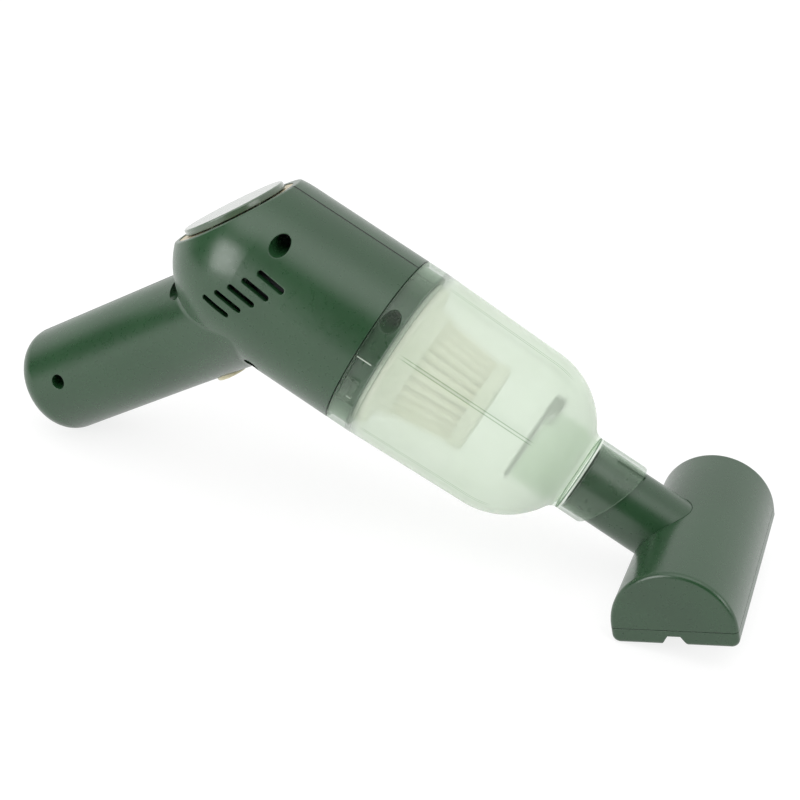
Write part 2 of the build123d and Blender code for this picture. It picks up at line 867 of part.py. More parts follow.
# Impeller with blades that lean back
blade_tip = impeller_radius - blade_thickness
blade_middle = (blade_root + blade_tip) / 2
blade_line = Edge.make_three_point_arc(
    Vector(blade_root, 0, 0),
    Vector(blade_middle * cos(radians(blade_sweep / 2)), blade_middle * sin(radians(blade_sweep / 2)) - blade_bow, 0),
    Vector(blade_tip * cos(radians(blade_sweep)), blade_tip * sin(radians(blade_sweep)), 0),
)
with BuildPart() as impeller:
    with BuildSketch(across(-impeller_back)):
        Circle(impeller_radius)
    extrude(amount=impeller_disc)
    with BuildSketch(across(-impeller_back)):
        Circle(impeller_hub)
        with PolarLocations(0, blade_count):
            SlotArc(arc=blade_line, height=blade_thickness)
    extrude(amount=impeller_back - impeller_front)
    with BuildSketch(across(-impeller_back)):
        Circle(shaft_radius + fit)
    extrude(amount=impeller_back, mode=Mode.SUBTRACT)
impeller.part.label = "impeller"
export_step(impeller.part, "parts/impeller.step")

# Motor

can_rear = plate_back + motor_length
bush_front = plate_back - boss_length
bush_rear = can_rear + boss_length
shaft_rear = bush_rear + gap
shaft_front = impeller_front
armature_middle = plate_back + motor_length / 2

with BuildPart() as motor_can:
    with BuildSketch(across(-can_rear)):
        Circle(motor_radius)
    extrude(amount=motor_length)
    with BuildSketch(across(-can_rear)):
        Circle(motor_radius - can_wall)
    extrude(amount=motor_length - can_front, mode=Mode.SUBTRACT)
    with BuildSketch(across(-plate_back)):
        Circle(motor_boss)
    extrude(amount=boss_length)
    with BuildSketch(across(-plate_back - can_front)):
        Circle(bush_radius + fit)
        with PolarLocations(plate_screw_circle, 2):
            Circle(plate_screw_radius + fit)
    extrude(amount=can_front + boss_length, mode=Mode.SUBTRACT)
motor_can.part.label = "motor_can"
export_step(motor_can.part, "parts/motor_can.step")

with BuildPart() as motor_end_bell:
    with BuildSketch(across(-can_rear)):
        Circle(motor_radius - can_wall - fit)
    extrude(amount=bell_thickness)
    with BuildSketch(across(-can_rear)):
        Circle(motor_boss)
    extrude(amount=-boss_length)
    with BuildSketch(across(-bush_rear)):
        Circle(bush_radius + fit)
    extrude(amount=boss_length + bell_thickness, mode=Mode.SUBTRACT)
    for way in (-1, 1):
        with BuildSketch(across(-can_rear)):
            with Locations((way * terminal_spacing, 0)):
                Rectangle(terminal_width, terminal_thickness)
        extrude(amount=-terminal_length)
motor_end_bell.part.label = "motor_end_bell"
export_step(motor_end_bell.part, "parts/motor_end_bell.step")

with BuildPart() as motor_bushes:
    for start in (-bush_front - bush_length, -bush_rear):
        with BuildSketch(across(start)):
            Circle(bush_radius)
            Circle(shaft_radius + shaft_fit, mode=Mode.SUBTRACT)
        extrude(amount=bush_length)
motor_bushes.part.label = "motor_bushes"
export_step(motor_bushes.part, "parts/motor_bushes.step")

with BuildPart() as motor_magnets:
    with BuildSketch(across(-armature_middle)):
        Circle(motor_radius - can_wall - fit)
        Circle(motor_radius - can_wall - fit - magnet_thickness, mode=Mode.SUBTRACT)
        Rectangle(2 * motor_radius, magnet_gap, mode=Mode.SUBTRACT)
    extrude(amount=magnet_length / 2, both=True)
motor_magnets.part.label = "motor_magnets"
export_step(motor_magnets.part, "parts/motor_magnets.step")

with BuildPart() as motor_armature:
    with BuildSketch(across(-armature_middle)):
        Circle(armature_radius)
        with PolarLocations(armature_radius, armature_slots):
            Rectangle(2 * armature_slot_depth, armature_slot_width, mode=Mode.SUBTRACT)
    extrude(amount=armature_length / 2, both=True)
    with BuildSketch(across(-armature_middle - armature_length / 2)):
        Circle(commutator_radius)
    extrude(amount=-commutator_length)
    with BuildSketch(across(-can_rear)):
        Circle(shaft_radius + fit)
    extrude(amount=motor_length, mode=Mode.SUBTRACT)
motor_armature.part.label = "motor_armature"
export_step(motor_armature.part, "parts/motor_armature.step")

with BuildPart() as motor_shaft:
    with BuildSketch(across(-shaft_rear)):
        Circle(shaft_radius)
    extrude(amount=shaft_rear - shaft_front)
motor_shaft.part.label = "motor_shaft"
export_step(motor_shaft.part, "parts/motor_shaft.step")

# Rubber rings that hold the motor in the webs
with BuildPart() as motor_mount_front:
    with BuildSketch(across(mount_stations[0])):
        Circle(motor_radius + mount_thickness + mount_lip)
        Circle(motor_radius, mode=Mode.SUBTRACT)
    extrude(amount=mount_width / 2, both=True)
    with BuildSketch(across(mount_stations[0])):
        Circle(barrel_radius)
        Circle(motor_radius + mount_thickness, mode=Mode.SUBTRACT)
    extrude(amount=web_thickness / 2 + fit, both=True, mode=Mode.SUBTRACT)
motor_mount_front.part.label = "motor_mount_front"
export_step(motor_mount_front.part, "parts/motor_mount_front.step")

with BuildPart() as motor_mount_rear:
    with BuildSketch(across(mount_stations[1])):
        Circle(motor_radius + mount_thickness + mount_lip)
        Circle(motor_radius, mode=Mode.SUBTRACT)
    extrude(amount=mount_width / 2, both=True)
    with BuildSketch(across(mount_stations[1])):
        Circle(barrel_radius)
        Circle(motor_radius + mount_thickness, mode=Mode.SUBTRACT)
    extrude(amount=web_thickness / 2 + fit, both=True, mode=Mode.SUBTRACT)
motor_mount_rear.part.label = "motor_mount_rear"
export_step(motor_mount_rear.part, "parts/motor_mount_rear.step")

# Leads from the control board to the motor's terminals
lead_corner = grip_point(lead_station, lead_offset)
with BuildPart() as motor_leads:
    for way in (-1, 1):
        lead_plane = facing_right(way * terminal_spacing)
        with BuildLine(lead_plane) as lead_path:
            FilletPolyline(
                (lead_corner[0], -terminal_thickness / 2),
                lead_corner,
                grip_point(lead_station, board_bottom),
                radius=lead_bend,
            )
        with BuildSketch(Plane(origin=lead_path.line @ 0, z_dir=lead_path.line % 0)):
            Circle(lead_radius)
        sweep(path=lead_path.line)
motor_leads.part.label = "motor_leads"
export_step(motor_leads.part, "parts/motor_leads.step")

# Dust cup

cup_inner = barrel_radius - cup_wall
shoulder_centre = shoulder_start_radius - shoulder_radius
neck_bore = neck_radius - neck_wall
shoulder_reach = sqrt(shoulder_radius**2 - (neck_radius - shoulder_centre) ** 2)
neck_start = (cup_taper_end + shoulder_reach, neck_radius)
shoulder_start = (cup_taper_end, shoulder_start_radius)
inner_start = (cup_taper_end, shoulder_start_radius - cup_wall)
inner_nose = (cup_taper_end + shoulder_radius - cup_wall, shoulder_centre)


def cup_radius(u, inset):
    """Radius of the cup's form at u, drawn in by inset."""
    if u > cup_taper_end:
        return shoulder_centre + sqrt((shoulder_radius - inset) ** 2 - (u - cup_taper_end) ** 2)
    share = (u - spigot_length) / (cup_taper_end - spigot_length)
    return barrel_radius - inset - (barrel_radius - shoulder_start_radius) * max(0.0, share)


rim_slope = (rim_top - rim_bottom) / (2 * neck_radius)
rim_over = 2 * neck_radius
rim_middle = (rim_top + rim_bottom) / 2

with BuildPart() as dust_cup:
    # outer form
    with BuildSketch(side) as cup_profile:
        with BuildLine():
            Polyline((seam_gap, 0), (seam_gap, barrel_radius), (spigot_length, barrel_radius), shoulder_start)
            ThreePointArc(
                shoulder_start,
                mid(shoulder_start, neck_start, (cup_taper_end, shoulder_centre)),
                neck_start,
            )
            Polyline(neck_start, (rim_top + neck_wall, neck_radius), (rim_top + neck_wall, 0), (seam_gap, 0))
        make_face()
        fillet(cup_profile.vertices().sort_by_distance((*neck_start, 0))[0], radius=neck_fillet)
    revolve(axis=barrel_axis)
    # bowl
    with BuildSketch(side):
        with BuildLine():
            Polyline((0, 0), (0, cup_inner), (spigot_length, cup_inner), inner_start)
            ThreePointArc(inner_start, mid(inner_start, inner_nose, (cup_taper_end, shoulder_centre)), inner_nose)
            Polyline(inner_nose, (inner_nose[0], 0), (0, 0))
        make_face()
    revolve(axis=barrel_axis, mode=Mode.SUBTRACT)
    # inner ribs, clear of the seal and the filter's flange
    for turn in range(0, 360, 360 // rib_count):
        rib_facing = right.rotate(Axis((0, 0, 0), forward), turn)
        with BuildSketch(Plane(origin=joint_centre, x_dir=forward, z_dir=rib_facing)):
            with BuildLine():
                Polyline(
                    (rib_end, cup_radius(rib_end, cup_wall / 2)),
                    (rib_end, cup_radius(rib_end, cup_wall + rib_height)),
                    (cup_taper_end, cup_radius(cup_taper_end, cup_wall + rib_height)),
                    (rib_start, cup_radius(rib_start, cup_wall + rib_height)),
                    (rib_start, cup_radius(rib_start, cup_wall / 2)),
                    (cup_taper_end, cup_radius(cup_taper_end, cup_wall / 2)),
                    (rib_end, cup_radius(rib_end, cup_wall / 2)),
                )
            make_face()
        extrude(amount=rib_thickness / 2, both=True)
    # lugs of the bayonet, each with a slit
    for turn in (0, 180):
        lug_angle = 180 - lug_low - lug_arc + turn
        with BuildSketch(across(lug_start)):
            with BuildLine():
                lug_out = CenterArc((0, 0), barrel_radius - cup_wall / 2, lug_angle, lug_arc)
                lug_in = CenterArc((0, 0), cup_inner - lug_height, lug_angle, lug_arc)
                Line(lug_out @ 0, lug_in @ 0)
                Line(lug_out @ 1, lug_in @ 1)
            make_face()
        extrude(amount=lug_length)
        with BuildSketch(across(lug_start + lug_length)):
            with PolarLocations(cup_inner - lug_height / 2, 1, start_angle=180 - lug_slit_angle + turn):
                Rectangle(lug_height, lug_slit_width)
        extrude(amount=-lug_slit_length, mode=Mode.SUBTRACT)
    # inlet duct, and ears for the flap's pin on its inner end
    with BuildSketch(across(duct_end)):
        Circle(neck_radius)
    extrude(amount=neck_start[0] - duct_end)
    ear_spot = knuckle_width / 2 + gap + ear_width / 2
    ear_height = pin_height + knuckle_radius - neck_bore
    with BuildSketch(across(duct_end)):
        for way in (-1, 1):
            with Locations((way * ear_spot, neck_bore + ear_height / 2)):
                Rectangle(ear_width, ear_height)
    extrude(amount=2 * pin_setback)
    # bore of the duct and neck, with a keyway at its top
    with BuildSketch(across(duct_end)):
        Circle(neck_bore)
    extrude(amount=rim_top + neck_wall - duct_end, mode=Mode.SUBTRACT)
    keyway_top = tube_radius + key_height + gap
    with BuildSketch(across(key_start - gap)):
        with Locations((0, keyway_top / 2)):
            Rectangle(key_width + 2 * gap, keyway_top)
    extrude(amount=rim_top, mode=Mode.SUBTRACT)
    # holes of the flap's pin
    with BuildSketch(side):
        with Locations((duct_end + pin_setback, pin_height)):
            Circle(pin_radius + fit)
    extrude(amount=pin_length, both=True, mode=Mode.SUBTRACT)
    # slanted rim of the neck
    with BuildSketch(side):
        Polygon(
            (rim_middle + rim_slope * rim_over, rim_over),
            (rim_middle - rim_slope * rim_over, -rim_over),
            (rim_middle + 2 * rim_over, -rim_over),
            (rim_middle + 2 * rim_over, rim_over),
            align=None,
        )
    extrude(amount=rim_over, both=True, mode=Mode.SUBTRACT)
dust_cup.part.label = "dust_cup"
export_step(dust_cup.part, "parts/dust_cup.step")

# Soft seal between the housing's front and the cup
seal_start = spigot_length + gap
with BuildPart() as cup_seal:
    with BuildSketch(across(seal_start)):
        Circle(seal_outer)
        Circle(seal_inner, mode=Mode.SUBTRACT)
    extrude(amount=seal_thickness)
cup_seal.part.label = "cup_seal"
export_step(cup_seal.part, "parts/cup_seal.step")

# Flap over the duct's inner end, with a knuckle on its pin
flap_front = duct_end - gap
with BuildPart() as inlet_flap:
    with BuildSketch(across(flap_front)):
        Circle(flap_radius)
        with Locations((0, (pin_height + knuckle_radius) / 2)):
            Rectangle(knuckle_width, pin_height + knuckle_radius)
    extrude(amount=-flap_thickness)
    knuckle_depth = pin_setback + gap + flap_thickness
    with BuildSketch(side):
        with Locations((duct_end + pin_setback, pin_height)):
            Circle(knuckle_radius)
        with Locations((duct_end + pin_setback - knuckle_depth / 2, pin_height)):
            Rectangle(knuckle_depth, 2 * knuckle_radius)
        with Locations((duct_end + pin_setback, pin_height)):
            Circle(pin_radius + fit, mode=Mode.SUBTRACT)
    extrude(amount=knuckle_width / 2, both=True)
inlet_flap.part.label = "inlet_flap"
export_step(inlet_flap.part, "parts/inlet_flap.step")

with BuildPart() as flap_pin:
    with BuildSketch(side):
        with Locations((duct_end + pin_setback, pin_height)):
            Circle(pin_radius)
    extrude(amount=pin_length / 2, both=True)
flap_pin.part.label = "flap_pin"
export_step(flap_pin.part, "parts/flap_pin.step")

# Filter

flange_start = seal_start + seal_thickness + gap
band_start = flange_start + filter_flange
media_start = band_start + base_band
cap_start = filter_end - end_band
plug_radius = bore_radius - gap
cone_slope = (cone_start_radius - cone_end_radius) / (filter_end - band_start)
media_radius = cone_start_radius - cone_slope * base_band - band_step
media_end_radius = cone_end_radius + cone_slope * end_band - band_step


def pleats(radius, depth):
    """Corner points of a pleated ring seen along its axis."""
    turns = [pi * k / pleat_count for k in range(2 * pleat_count)]
    folds = [radius - depth * (k % 2) for k in range(2 * pleat_count)]
    return [(r * cos(turn), r * sin(turn)) for turn, r in zip(turns, folds)]


# Plug, flange and base band in one moulding
with BuildPart() as filter_base:
    with BuildSketch(side):
        Polygon(
            (plug_start, plug_radius - plug_wall),
            (plug_start, plug_radius),
            (gasket_station, plug_radius),
            (gasket_station, plug_radius - gasket_depth),
            (gasket_station + gasket_width, plug_radius - gasket_depth),
            (gasket_station + gasket_width, plug_radius),
            (flange_start, plug_radius),
            (flange_start, flange_radius),
            (band_start, flange_radius),
            (band_start, cone_start_radius),
            (media_start, cone_start_radius - cone_slope * base_band),
            (media_start, plug_radius - plug_wall),
            align=None,
        )
    revolve(axis=barrel_axis)
filter_base.part.label = "filter_base"
export_step(filter_base.part, "parts/filter_base.step")

with BuildPart() as filter_media:
    with BuildSketch(across(media_start)):
        Polygon(*pleats(media_radius, pleat_depth), align=None)
    with BuildSketch(across(cap_start)):
        Polygon(*pleats(media_end_radius, pleat_depth), align=None)
    loft(ruled=True)
    with BuildSketch(across(media_start)):
        Polygon(*pleats(media_radius - paper_thickness, pleat_depth), align=None)
    with BuildSketch(across(cap_start)):
        Polygon(*pleats(media_end_radius - paper_thickness, pleat_depth), align=None)
    loft(ruled=True, mode=Mode.SUBTRACT)
filter_media.part.label = "filter_media"
export_step(filter_media.part, "parts/filter_media.step")

with BuildPart() as filter_end_cap:
    with BuildSketch(side):
        Polygon(
            (cap_start, 0),
            (cap_start, cone_end_radius + cone_slope * end_band),
            (filter_end, cone_end_radius),
            (filter_end, 0),
            align=None,
        )
    revolve(axis=barrel_axis)
    cap_front = filter_end_cap.faces().sort_by(Axis(joint_centre, forward))[-1]
    fillet(cap_front.edges(), radius=end_cap_round)
    with BuildSketch(across(cap_start)):
        Circle(media_end_radius - pleat_depth - paper_thickness)
    extrude(amount=end_band / 2, mode=Mode.SUBTRACT)
filter_end_cap.part.label = "filter_end_cap"
export_step(filter_end_cap.part, "parts/filter_end_cap.step")

with BuildPart() as filter_gasket:
    with BuildSketch(across(gasket_station)):
        Circle(bore_radius - fit)
        Circle(plug_radius - gasket_depth, mode=Mode.SUBTRACT)
    extrude(amount=gasket_width)
filter_gasket.part.label = "filter_gasket"
export_step(filter_gasket.part, "parts/filter_gasket.step")

# Nozzle tube, its key in the neck's keyway

with BuildPart() as nozzle_tube:
    with BuildSketch(across(tube_start)):
        Circle(tube_radius)
    extrude(amount=tube_end - tube_start)
    with BuildSketch(across(key_start)):
        with Locations((0, (tube_radius + key_height) / 2)):
            Rectangle(key_width, tube_radius + key_height)
    extrude(amount=key_length)
    with BuildSketch(across(tube_start)):
        Circle(tube_radius - tube_wall)
    extrude(amount=tube_end - tube_start, mode=Mode.SUBTRACT)
nozzle_tube.part.label = "nozzle_tube"
export_step(nozzle_tube.part, "parts/nozzle_tube.step")

# Brush head

post_bottom = -sole_drop + sole_floor + sole_pad_rise
head_bottom = -sole_drop + sole_screw_inset + sole_screw_head_height
shell_bottom = -seam_drop + seam_line / 2
sole_top = -seam_drop - seam_line / 2
screw_toe, screw_side = sole_screw_spot
sole_screws_at = [(x, y) for x in (-screw_side, screw_side) for y in (-screw_toe, screw_toe)]

# Outer form of shell and sole together
with BuildPart() as head_form:
    with BuildSketch(head_side) as head_profile:
        with BuildLine():
            Polyline((head_radius, 0), (head_radius, -sole_drop), (-head_radius, -sole_drop), (-head_radius, 0))
            ThreePointArc((-head_radius, 0), (0, head_radius), (head_radius, 0))
        make_face()
        fillet(head_profile.vertices().group_by(Axis.Y)[0], radius=heel_round)
    extrude(amount=head_width / 2, both=True)
    end_faces = head_form.faces().sort_by(Axis.Y)
    fillet(end_faces[0].edges() + end_faces[-1].edges(), radius=head_edge)

with BuildPart() as brush_head_shell:
    add(head_form.part)
    split(bisect_by=sole_face(shell_bottom), keep=Keep.TOP)
    with BuildSketch(head_side):
        with BuildLine():
            Polyline(
                (head_radius - head_wall, 0),
                (head_radius - head_wall, -sole_drop),
                (head_wall - head_radius, -sole_drop),
                (head_wall - head_radius, 0),
            )
            ThreePointArc((head_wall - head_radius, 0), (0, head_radius - head_wall), (head_radius - head_wall, 0))
        make_face()
    extrude(amount=head_width / 2 - head_wall, both=True, mode=Mode.SUBTRACT)
    with BuildSketch(sole_face(post_bottom)):
        with Locations(*sole_screws_at):
            Circle(sole_post)
    extrude(amount=head_radius)
    with BuildSketch(sole_face(post_bottom)):
        with Locations(*sole_screws_at):
            Circle(sole_screw_radius + fit)
    extrude(amount=sole_screw_reach, mode=Mode.SUBTRACT)
    with BuildSketch(across(key_start)):
        Circle(tube_radius + fit)
    extrude(amount=tube_end - key_start, mode=Mode.SUBTRACT)
    add(head_form.part, mode=Mode.INTERSECT)
brush_head_shell.part.label = "brush_head_shell"
export_step(brush_head_shell.part, "parts/brush_head_shell.step")

with BuildPart() as sole_plate:
    add(head_form.part)
    split(bisect_by=sole_face(sole_top), keep=Keep.BOTTOM)
    # tray with a frame round the mouth
    with BuildSketch(sole_face(sole_floor - sole_drop)):
        Rectangle(head_width - 2 * sole_end_wall, 2 * (head_radius - head_wall))
        Rectangle(mouth_length + 2 * mouth_frame, mouth_width + 2 * mouth_frame, mode=Mode.SUBTRACT)
        with Locations(*sole_screws_at):
            Circle(sole_pad, mode=Mode.SUBTRACT)
    extrude(amount=head_radius, mode=Mode.SUBTRACT)
    with BuildSketch(sole_face(post_bottom)):
        with Locations(*sole_screws_at):
            Circle(sole_pad)
    extrude(amount=head_radius, mode=Mode.SUBTRACT)
    with BuildSketch(sole_face(-sole_drop)):
        Rectangle(mouth_length, mouth_width)
    extrude(amount=head_radius, mode=Mode.SUBTRACT)
    # wells of the screws
    with BuildSketch(sole_face(-sole_drop)):
        with Locations(*sole_screws_at):
            Circle(sole_screw_radius + fit)
    extrude(amount=head_radius, mode=Mode.SUBTRACT)
    with BuildSketch(sole_face(-sole_drop)):
        with Locations(*sole_screws_at):
            Circle(sole_screw_head + gap)
    extrude(amount=sole_screw_inset + sole_screw_head_height, mode=Mode.SUBTRACT)
    # air notch from each end to the mouth
    with BuildSketch(head_side):
        Polygon(
            (-notch_top / 2, notch_height - sole_drop),
            (notch_top / 2, notch_height - sole_drop),
            (notch_bottom / 2, -sole_drop),
            (-notch_bottom / 2, -sole_drop),
            align=None,
        )
    extrude(amount=head_width / 2, both=True, mode=Mode.SUBTRACT)
sole_plate.part.label = "sole_plate"
export_step(sole_plate.part, "parts/sole_plate.step")

with BuildPart() as sole_screws:
    with BuildSketch(sole_face(head_bottom)):
        with Locations(*sole_screws_at):
            Circle(sole_screw_head)
    extrude(amount=-sole_screw_head_height)
    with BuildSketch(sole_face(head_bottom)):
        with Locations(*sole_screws_at):
            Circle(sole_screw_radius)
    extrude(amount=post_bottom - head_bottom + sole_screw_reach)
sole_screws.part.label = "sole_screws"
export_step(sole_screws.part, "parts/sole_screws.step")
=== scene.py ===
"""Dressed model of a cordless handheld vacuum cleaner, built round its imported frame."""

from __future__ import annotations

import json
import logging
import math
from dataclasses import dataclass
from enum import Enum, IntEnum
from typing import Sequence

import bmesh
import bpy
import numpy as np
from mathutils import Matrix, Vector

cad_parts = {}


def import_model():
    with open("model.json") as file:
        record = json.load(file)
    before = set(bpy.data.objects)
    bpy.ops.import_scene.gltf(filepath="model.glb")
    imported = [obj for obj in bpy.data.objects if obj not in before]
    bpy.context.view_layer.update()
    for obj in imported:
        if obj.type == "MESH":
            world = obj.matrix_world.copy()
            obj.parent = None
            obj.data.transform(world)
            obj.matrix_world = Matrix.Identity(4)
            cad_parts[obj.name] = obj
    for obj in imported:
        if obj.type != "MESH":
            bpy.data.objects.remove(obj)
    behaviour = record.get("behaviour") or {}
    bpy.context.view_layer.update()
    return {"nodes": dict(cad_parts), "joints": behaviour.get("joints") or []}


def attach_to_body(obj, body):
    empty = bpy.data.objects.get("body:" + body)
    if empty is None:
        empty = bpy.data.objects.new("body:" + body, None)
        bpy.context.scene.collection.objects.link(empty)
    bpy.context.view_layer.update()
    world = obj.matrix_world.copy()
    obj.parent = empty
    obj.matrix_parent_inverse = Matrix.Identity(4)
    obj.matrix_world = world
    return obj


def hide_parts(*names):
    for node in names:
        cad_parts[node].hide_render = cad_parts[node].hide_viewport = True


log = logging.getLogger("vacuum_cleaner")
MM = 0.001
FULL_TURN = 2 * math.pi
LEFT = np.array([0.0, 1.0, 0.0])
RIB_COUNT = 6
CREASE = 32.0
Colour = tuple[float, float, float]
Spot = tuple[float, float, float]
Piece = bpy.types.Object
Socket = bpy.types.NodeSocket
Tree = bpy.types.NodeTree


def paint(red: int, green: int, blue: int) -> Colour:
    """Turns a screen colour of 0 to 255 into linear light.

    Args:
        red: red as a screen shows it.
        green: green as a screen shows it.
        blue: blue as a screen shows it.

    Returns:
        The three linear shares.
    """
    screen = np.array([red, green, blue]) / 255.0
    linear = np.where(screen <= 0.04045, screen / 12.92, ((screen + 0.055) / 1.055) ** 2.4)
    return (float(linear[0]), float(linear[1]), float(linear[2]))


# Where things are


@dataclass(frozen=True)
class BarrelFrame:
    """The barrel's own axes in the row frame, with u along it, y to the left and t to its top."""

    start: np.ndarray
    forward: np.ndarray
    top: np.ndarray

    @classmethod
    def from_joint(cls, joints: Sequence[dict], name: str) -> BarrelFrame:
        """Reads the axes from the joint that turns about the barrel's axis.

        Args:
            joints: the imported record's joints.
            name: the joint whose place and axis are the barrel's.

        Returns:
            The frame, its start at the joint line between housing and cup, in metres.
        """
        joint = next(j for j in joints if j["name"] == name)
        forward = np.array(joint["axis"], float)
        forward /= np.linalg.norm(forward)
        return cls(np.array(joint["pos_m"], float), forward, np.cross(forward, LEFT))

    def place(self, u: np.ndarray, y: np.ndarray, t: np.ndarray) -> np.ndarray:
        """Points in metres in the row frame.

        Args:
            u: distance along the barrel towards the nozzle, in millimetres.
            y: distance to the left, in millimetres.
            t: distance towards the barrel's top, in millimetres.

        Returns:
            An array of points with one more axis than u, y and t.
        """
        u, y, t = np.broadcast_arrays(np.asarray(u, float), np.asarray(y, float), np.asarray(t, float))
        return self.start + self.way(u[..., None], y[..., None], t[..., None]) * MM

    def way(self, u: np.ndarray | float, y: np.ndarray | float, t: np.ndarray | float) -> np.ndarray:
        """Directions given along the barrel's axes, in the row frame."""
        return u * self.forward + y * LEFT + t * self.top


# Surfaces


def arc(centre: tuple[float, float], radius: float, start: float, end: float, steps: int) -> np.ndarray:
    """Points of an arc in a profile's plane, both ends kept.

    Each point is the centre plus the radius times the cosine and sine of its angle.

    Args:
        centre: the arc's centre.
        radius: its radius.
        start: angle of its first point, in degrees.
        end: angle of its last point, in degrees.
        steps: how many points it has.

    Returns:
        The points in order.
    """
    turn = np.radians(np.linspace(start, end, steps))
    return np.stack([centre[0] + radius * np.cos(turn), centre[1] + radius * np.sin(turn)], axis=-1)


def rounded(corners: Sequence[tuple[float, float, float]], steps: int = 4) -> np.ndarray:
    """Outline through corners, each cut by an arc that touches both its sides.

    The arc starts and ends at the radius over the tangent of half the corner's angle from the corner,
    and its points are a quadratic blend between those two ends and the corner.

    Args:
        corners: (x, y, radius) of each corner of a closed outline.
        steps: points on each arc.

    Returns:
        The outline's points in order.
    """
    sharpest = 0.05
    table = np.array(corners, float)
    spot, radius = table[:, :2], table[:, 2]
    back, ahead = np.roll(spot, 1, axis=0) - spot, np.roll(spot, -1, axis=0) - spot
    back /= np.linalg.norm(back, axis=1, keepdims=True)
    ahead /= np.linalg.norm(ahead, axis=1, keepdims=True)
    half = np.arccos(np.clip((back * ahead).sum(axis=1), -1, 1)) / 2
    cut = (radius / np.tan(np.maximum(half, sharpest)))[:, None]
    share = np.linspace(0, 1, steps)[None, :, None]
    first, last = (spot + back * cut)[:, None, :], (spot + ahead * cut)[:, None, :]
    curve = (1 - share) ** 2 * first + 2 * share * (1 - share) * spot[:, None, :] + share**2 * last
    return curve.reshape(-1, 2)


def smooth_piece(name: str, mesh: bpy.types.Mesh, crease: float) -> Piece:
    """Shades a mesh smoothly and puts it into the scene.

    Args:
        name: name of the piece.
        mesh: its mesh.
        crease: angle in degrees past which an edge stays sharp.

    Returns:
        The new object.
    """
    mesh.shade_smooth()
    mesh.set_sharp_from_angle(angle=math.radians(crease))
    piece = bpy.data.objects.new(name, mesh)
    bpy.context.scene.collection.objects.link(piece)
    return piece


def solid(name: str, points: np.ndarray, faces: np.ndarray, crease: float = CREASE) -> Piece:
    """Makes a smooth shaded piece from points and faces, with its faces turned outwards.

    Points that lie on each other are merged, and faces that shrink to nothing by that are dropped.

    Args:
        name: name of the piece.
        points: array of points in metres.
        faces: array of point numbers, one row per face.
        crease: angle in degrees past which an edge stays sharp.

    Returns:
        The new object.
    """
    merging, shrunk = 2e-6, 1e-7
    mesh = bpy.data.meshes.new(name)
    mesh.from_pydata(points.tolist(), [], faces.tolist())
    shape = bmesh.new()
    shape.from_mesh(mesh)
    bmesh.ops.remove_doubles(shape, verts=shape.verts, dist=merging)
    bmesh.ops.dissolve_degenerate(shape, dist=shrunk, edges=shape.edges)
    bmesh.ops.recalc_face_normals(shape, faces=shape.faces)
    shape.to_mesh(mesh)
    shape.free()
    return smooth_piece(name, mesh, crease)


def surface(name: str, grid: np.ndarray, close_rows: bool, crease: float = CREASE) -> Piece:
    """Makes a piece from a grid of points in the row frame.

    Four neighbouring points of the grid make one face. The last column joins the first, and so does the
    last row where the rows close. Points that lie on each other, as at a pole, are merged.

    Args:
        name: name of the piece.
        grid: array of points, rows by columns by three, in metres.
        close_rows: whether the last row joins the first.
        crease: angle in degrees past which an edge stays sharp.

    Returns:
        The new object, smooth shaded, its place in its mesh.
    """
    rows, columns = grid.shape[:2]
    index = np.arange(rows * columns).reshape(rows, columns)
    below = np.roll(index, -1, axis=0)
    faces = np.stack([index, np.roll(index, -1, axis=1), np.roll(below, -1, axis=1), below], axis=-1)
    faces = faces[: rows if close_rows else rows - 1]
    return solid(name, grid.reshape(-1, 3), faces.reshape(-1, 4), crease)


def capped(body: np.ndarray) -> np.ndarray:
    """Closes a grid's two ends by rows whose points all lie at the middle of the row beside them.

    Args:
        body: grid of points, rows by columns by three.

    Returns:
        The grid with two more rows.
    """
    ends = body[[0, -1]].mean(axis=1, keepdims=True) + np.zeros_like(body[:2])
    return np.concatenate([ends[:1], body, ends[1:]])


def carried(path: np.ndarray, wide: np.ndarray, deep: np.ndarray, outline: np.ndarray) -> np.ndarray:
    """Grid of an outline carried along a path, closed at both ends.

    Each point is the path's point plus the outline's first number along wide and its second along deep.

    Args:
        path: points along the path, in metres.
        wide: direction of the outline's width.
        deep: direction of the outline's depth.
        outline: closed outline, in millimetres.

    Returns:
        The grid, path points and two ends by outline points by three.
    """
    return capped(path[:, None, :] + (outline[:, :1] * wide + outline[:, 1:] * deep) * MM)


def joined(name: str, parts: Sequence[Piece], crease: float = CREASE) -> Piece:
    """Puts several closed meshes into one piece and removes the originals.

    Args:
        name: name of the piece.
        parts: the pieces to join.
        crease: angle in degrees past which an edge stays sharp.

    Returns:
        The new object.
    """
    shape = bmesh.new()
    for part in parts:
        shape.from_mesh(part.data)
        bpy.data.objects.remove(part)
    mesh = bpy.data.meshes.new(name)
    shape.to_mesh(mesh)
    shape.free()
    return smooth_piece(name, mesh, crease)


# Shader nodes


def attach(tree: Tree, value: Socket | Colour | float, socket: Socket) -> None:
    """Links a socket into an input, or writes a colour or a number there.

    Args:
        tree: the tree of both sockets.
        value: what goes in.
        socket: the input, or a group's named input, whose default it then is.
    """
    if isinstance(value, bpy.types.NodeSocket):
        tree.links.new(value, socket)
    else:
        socket.default_value = (*value, 1.0) if isinstance(value, tuple) else value


def sums(tree: Tree, kind: str, *values: Socket | float) -> Socket:
    """Adds a Math node.

    Args:
        tree: the tree that it goes into.
        kind: its operation.
        values: its inputs, in order.

    Returns:
        Its output.
    """
    node = tree.nodes.new("ShaderNodeMath")
    node.operation = kind
    for place, value in enumerate(values):
        attach(tree, value, node.inputs[place])
    return node.outputs[0]


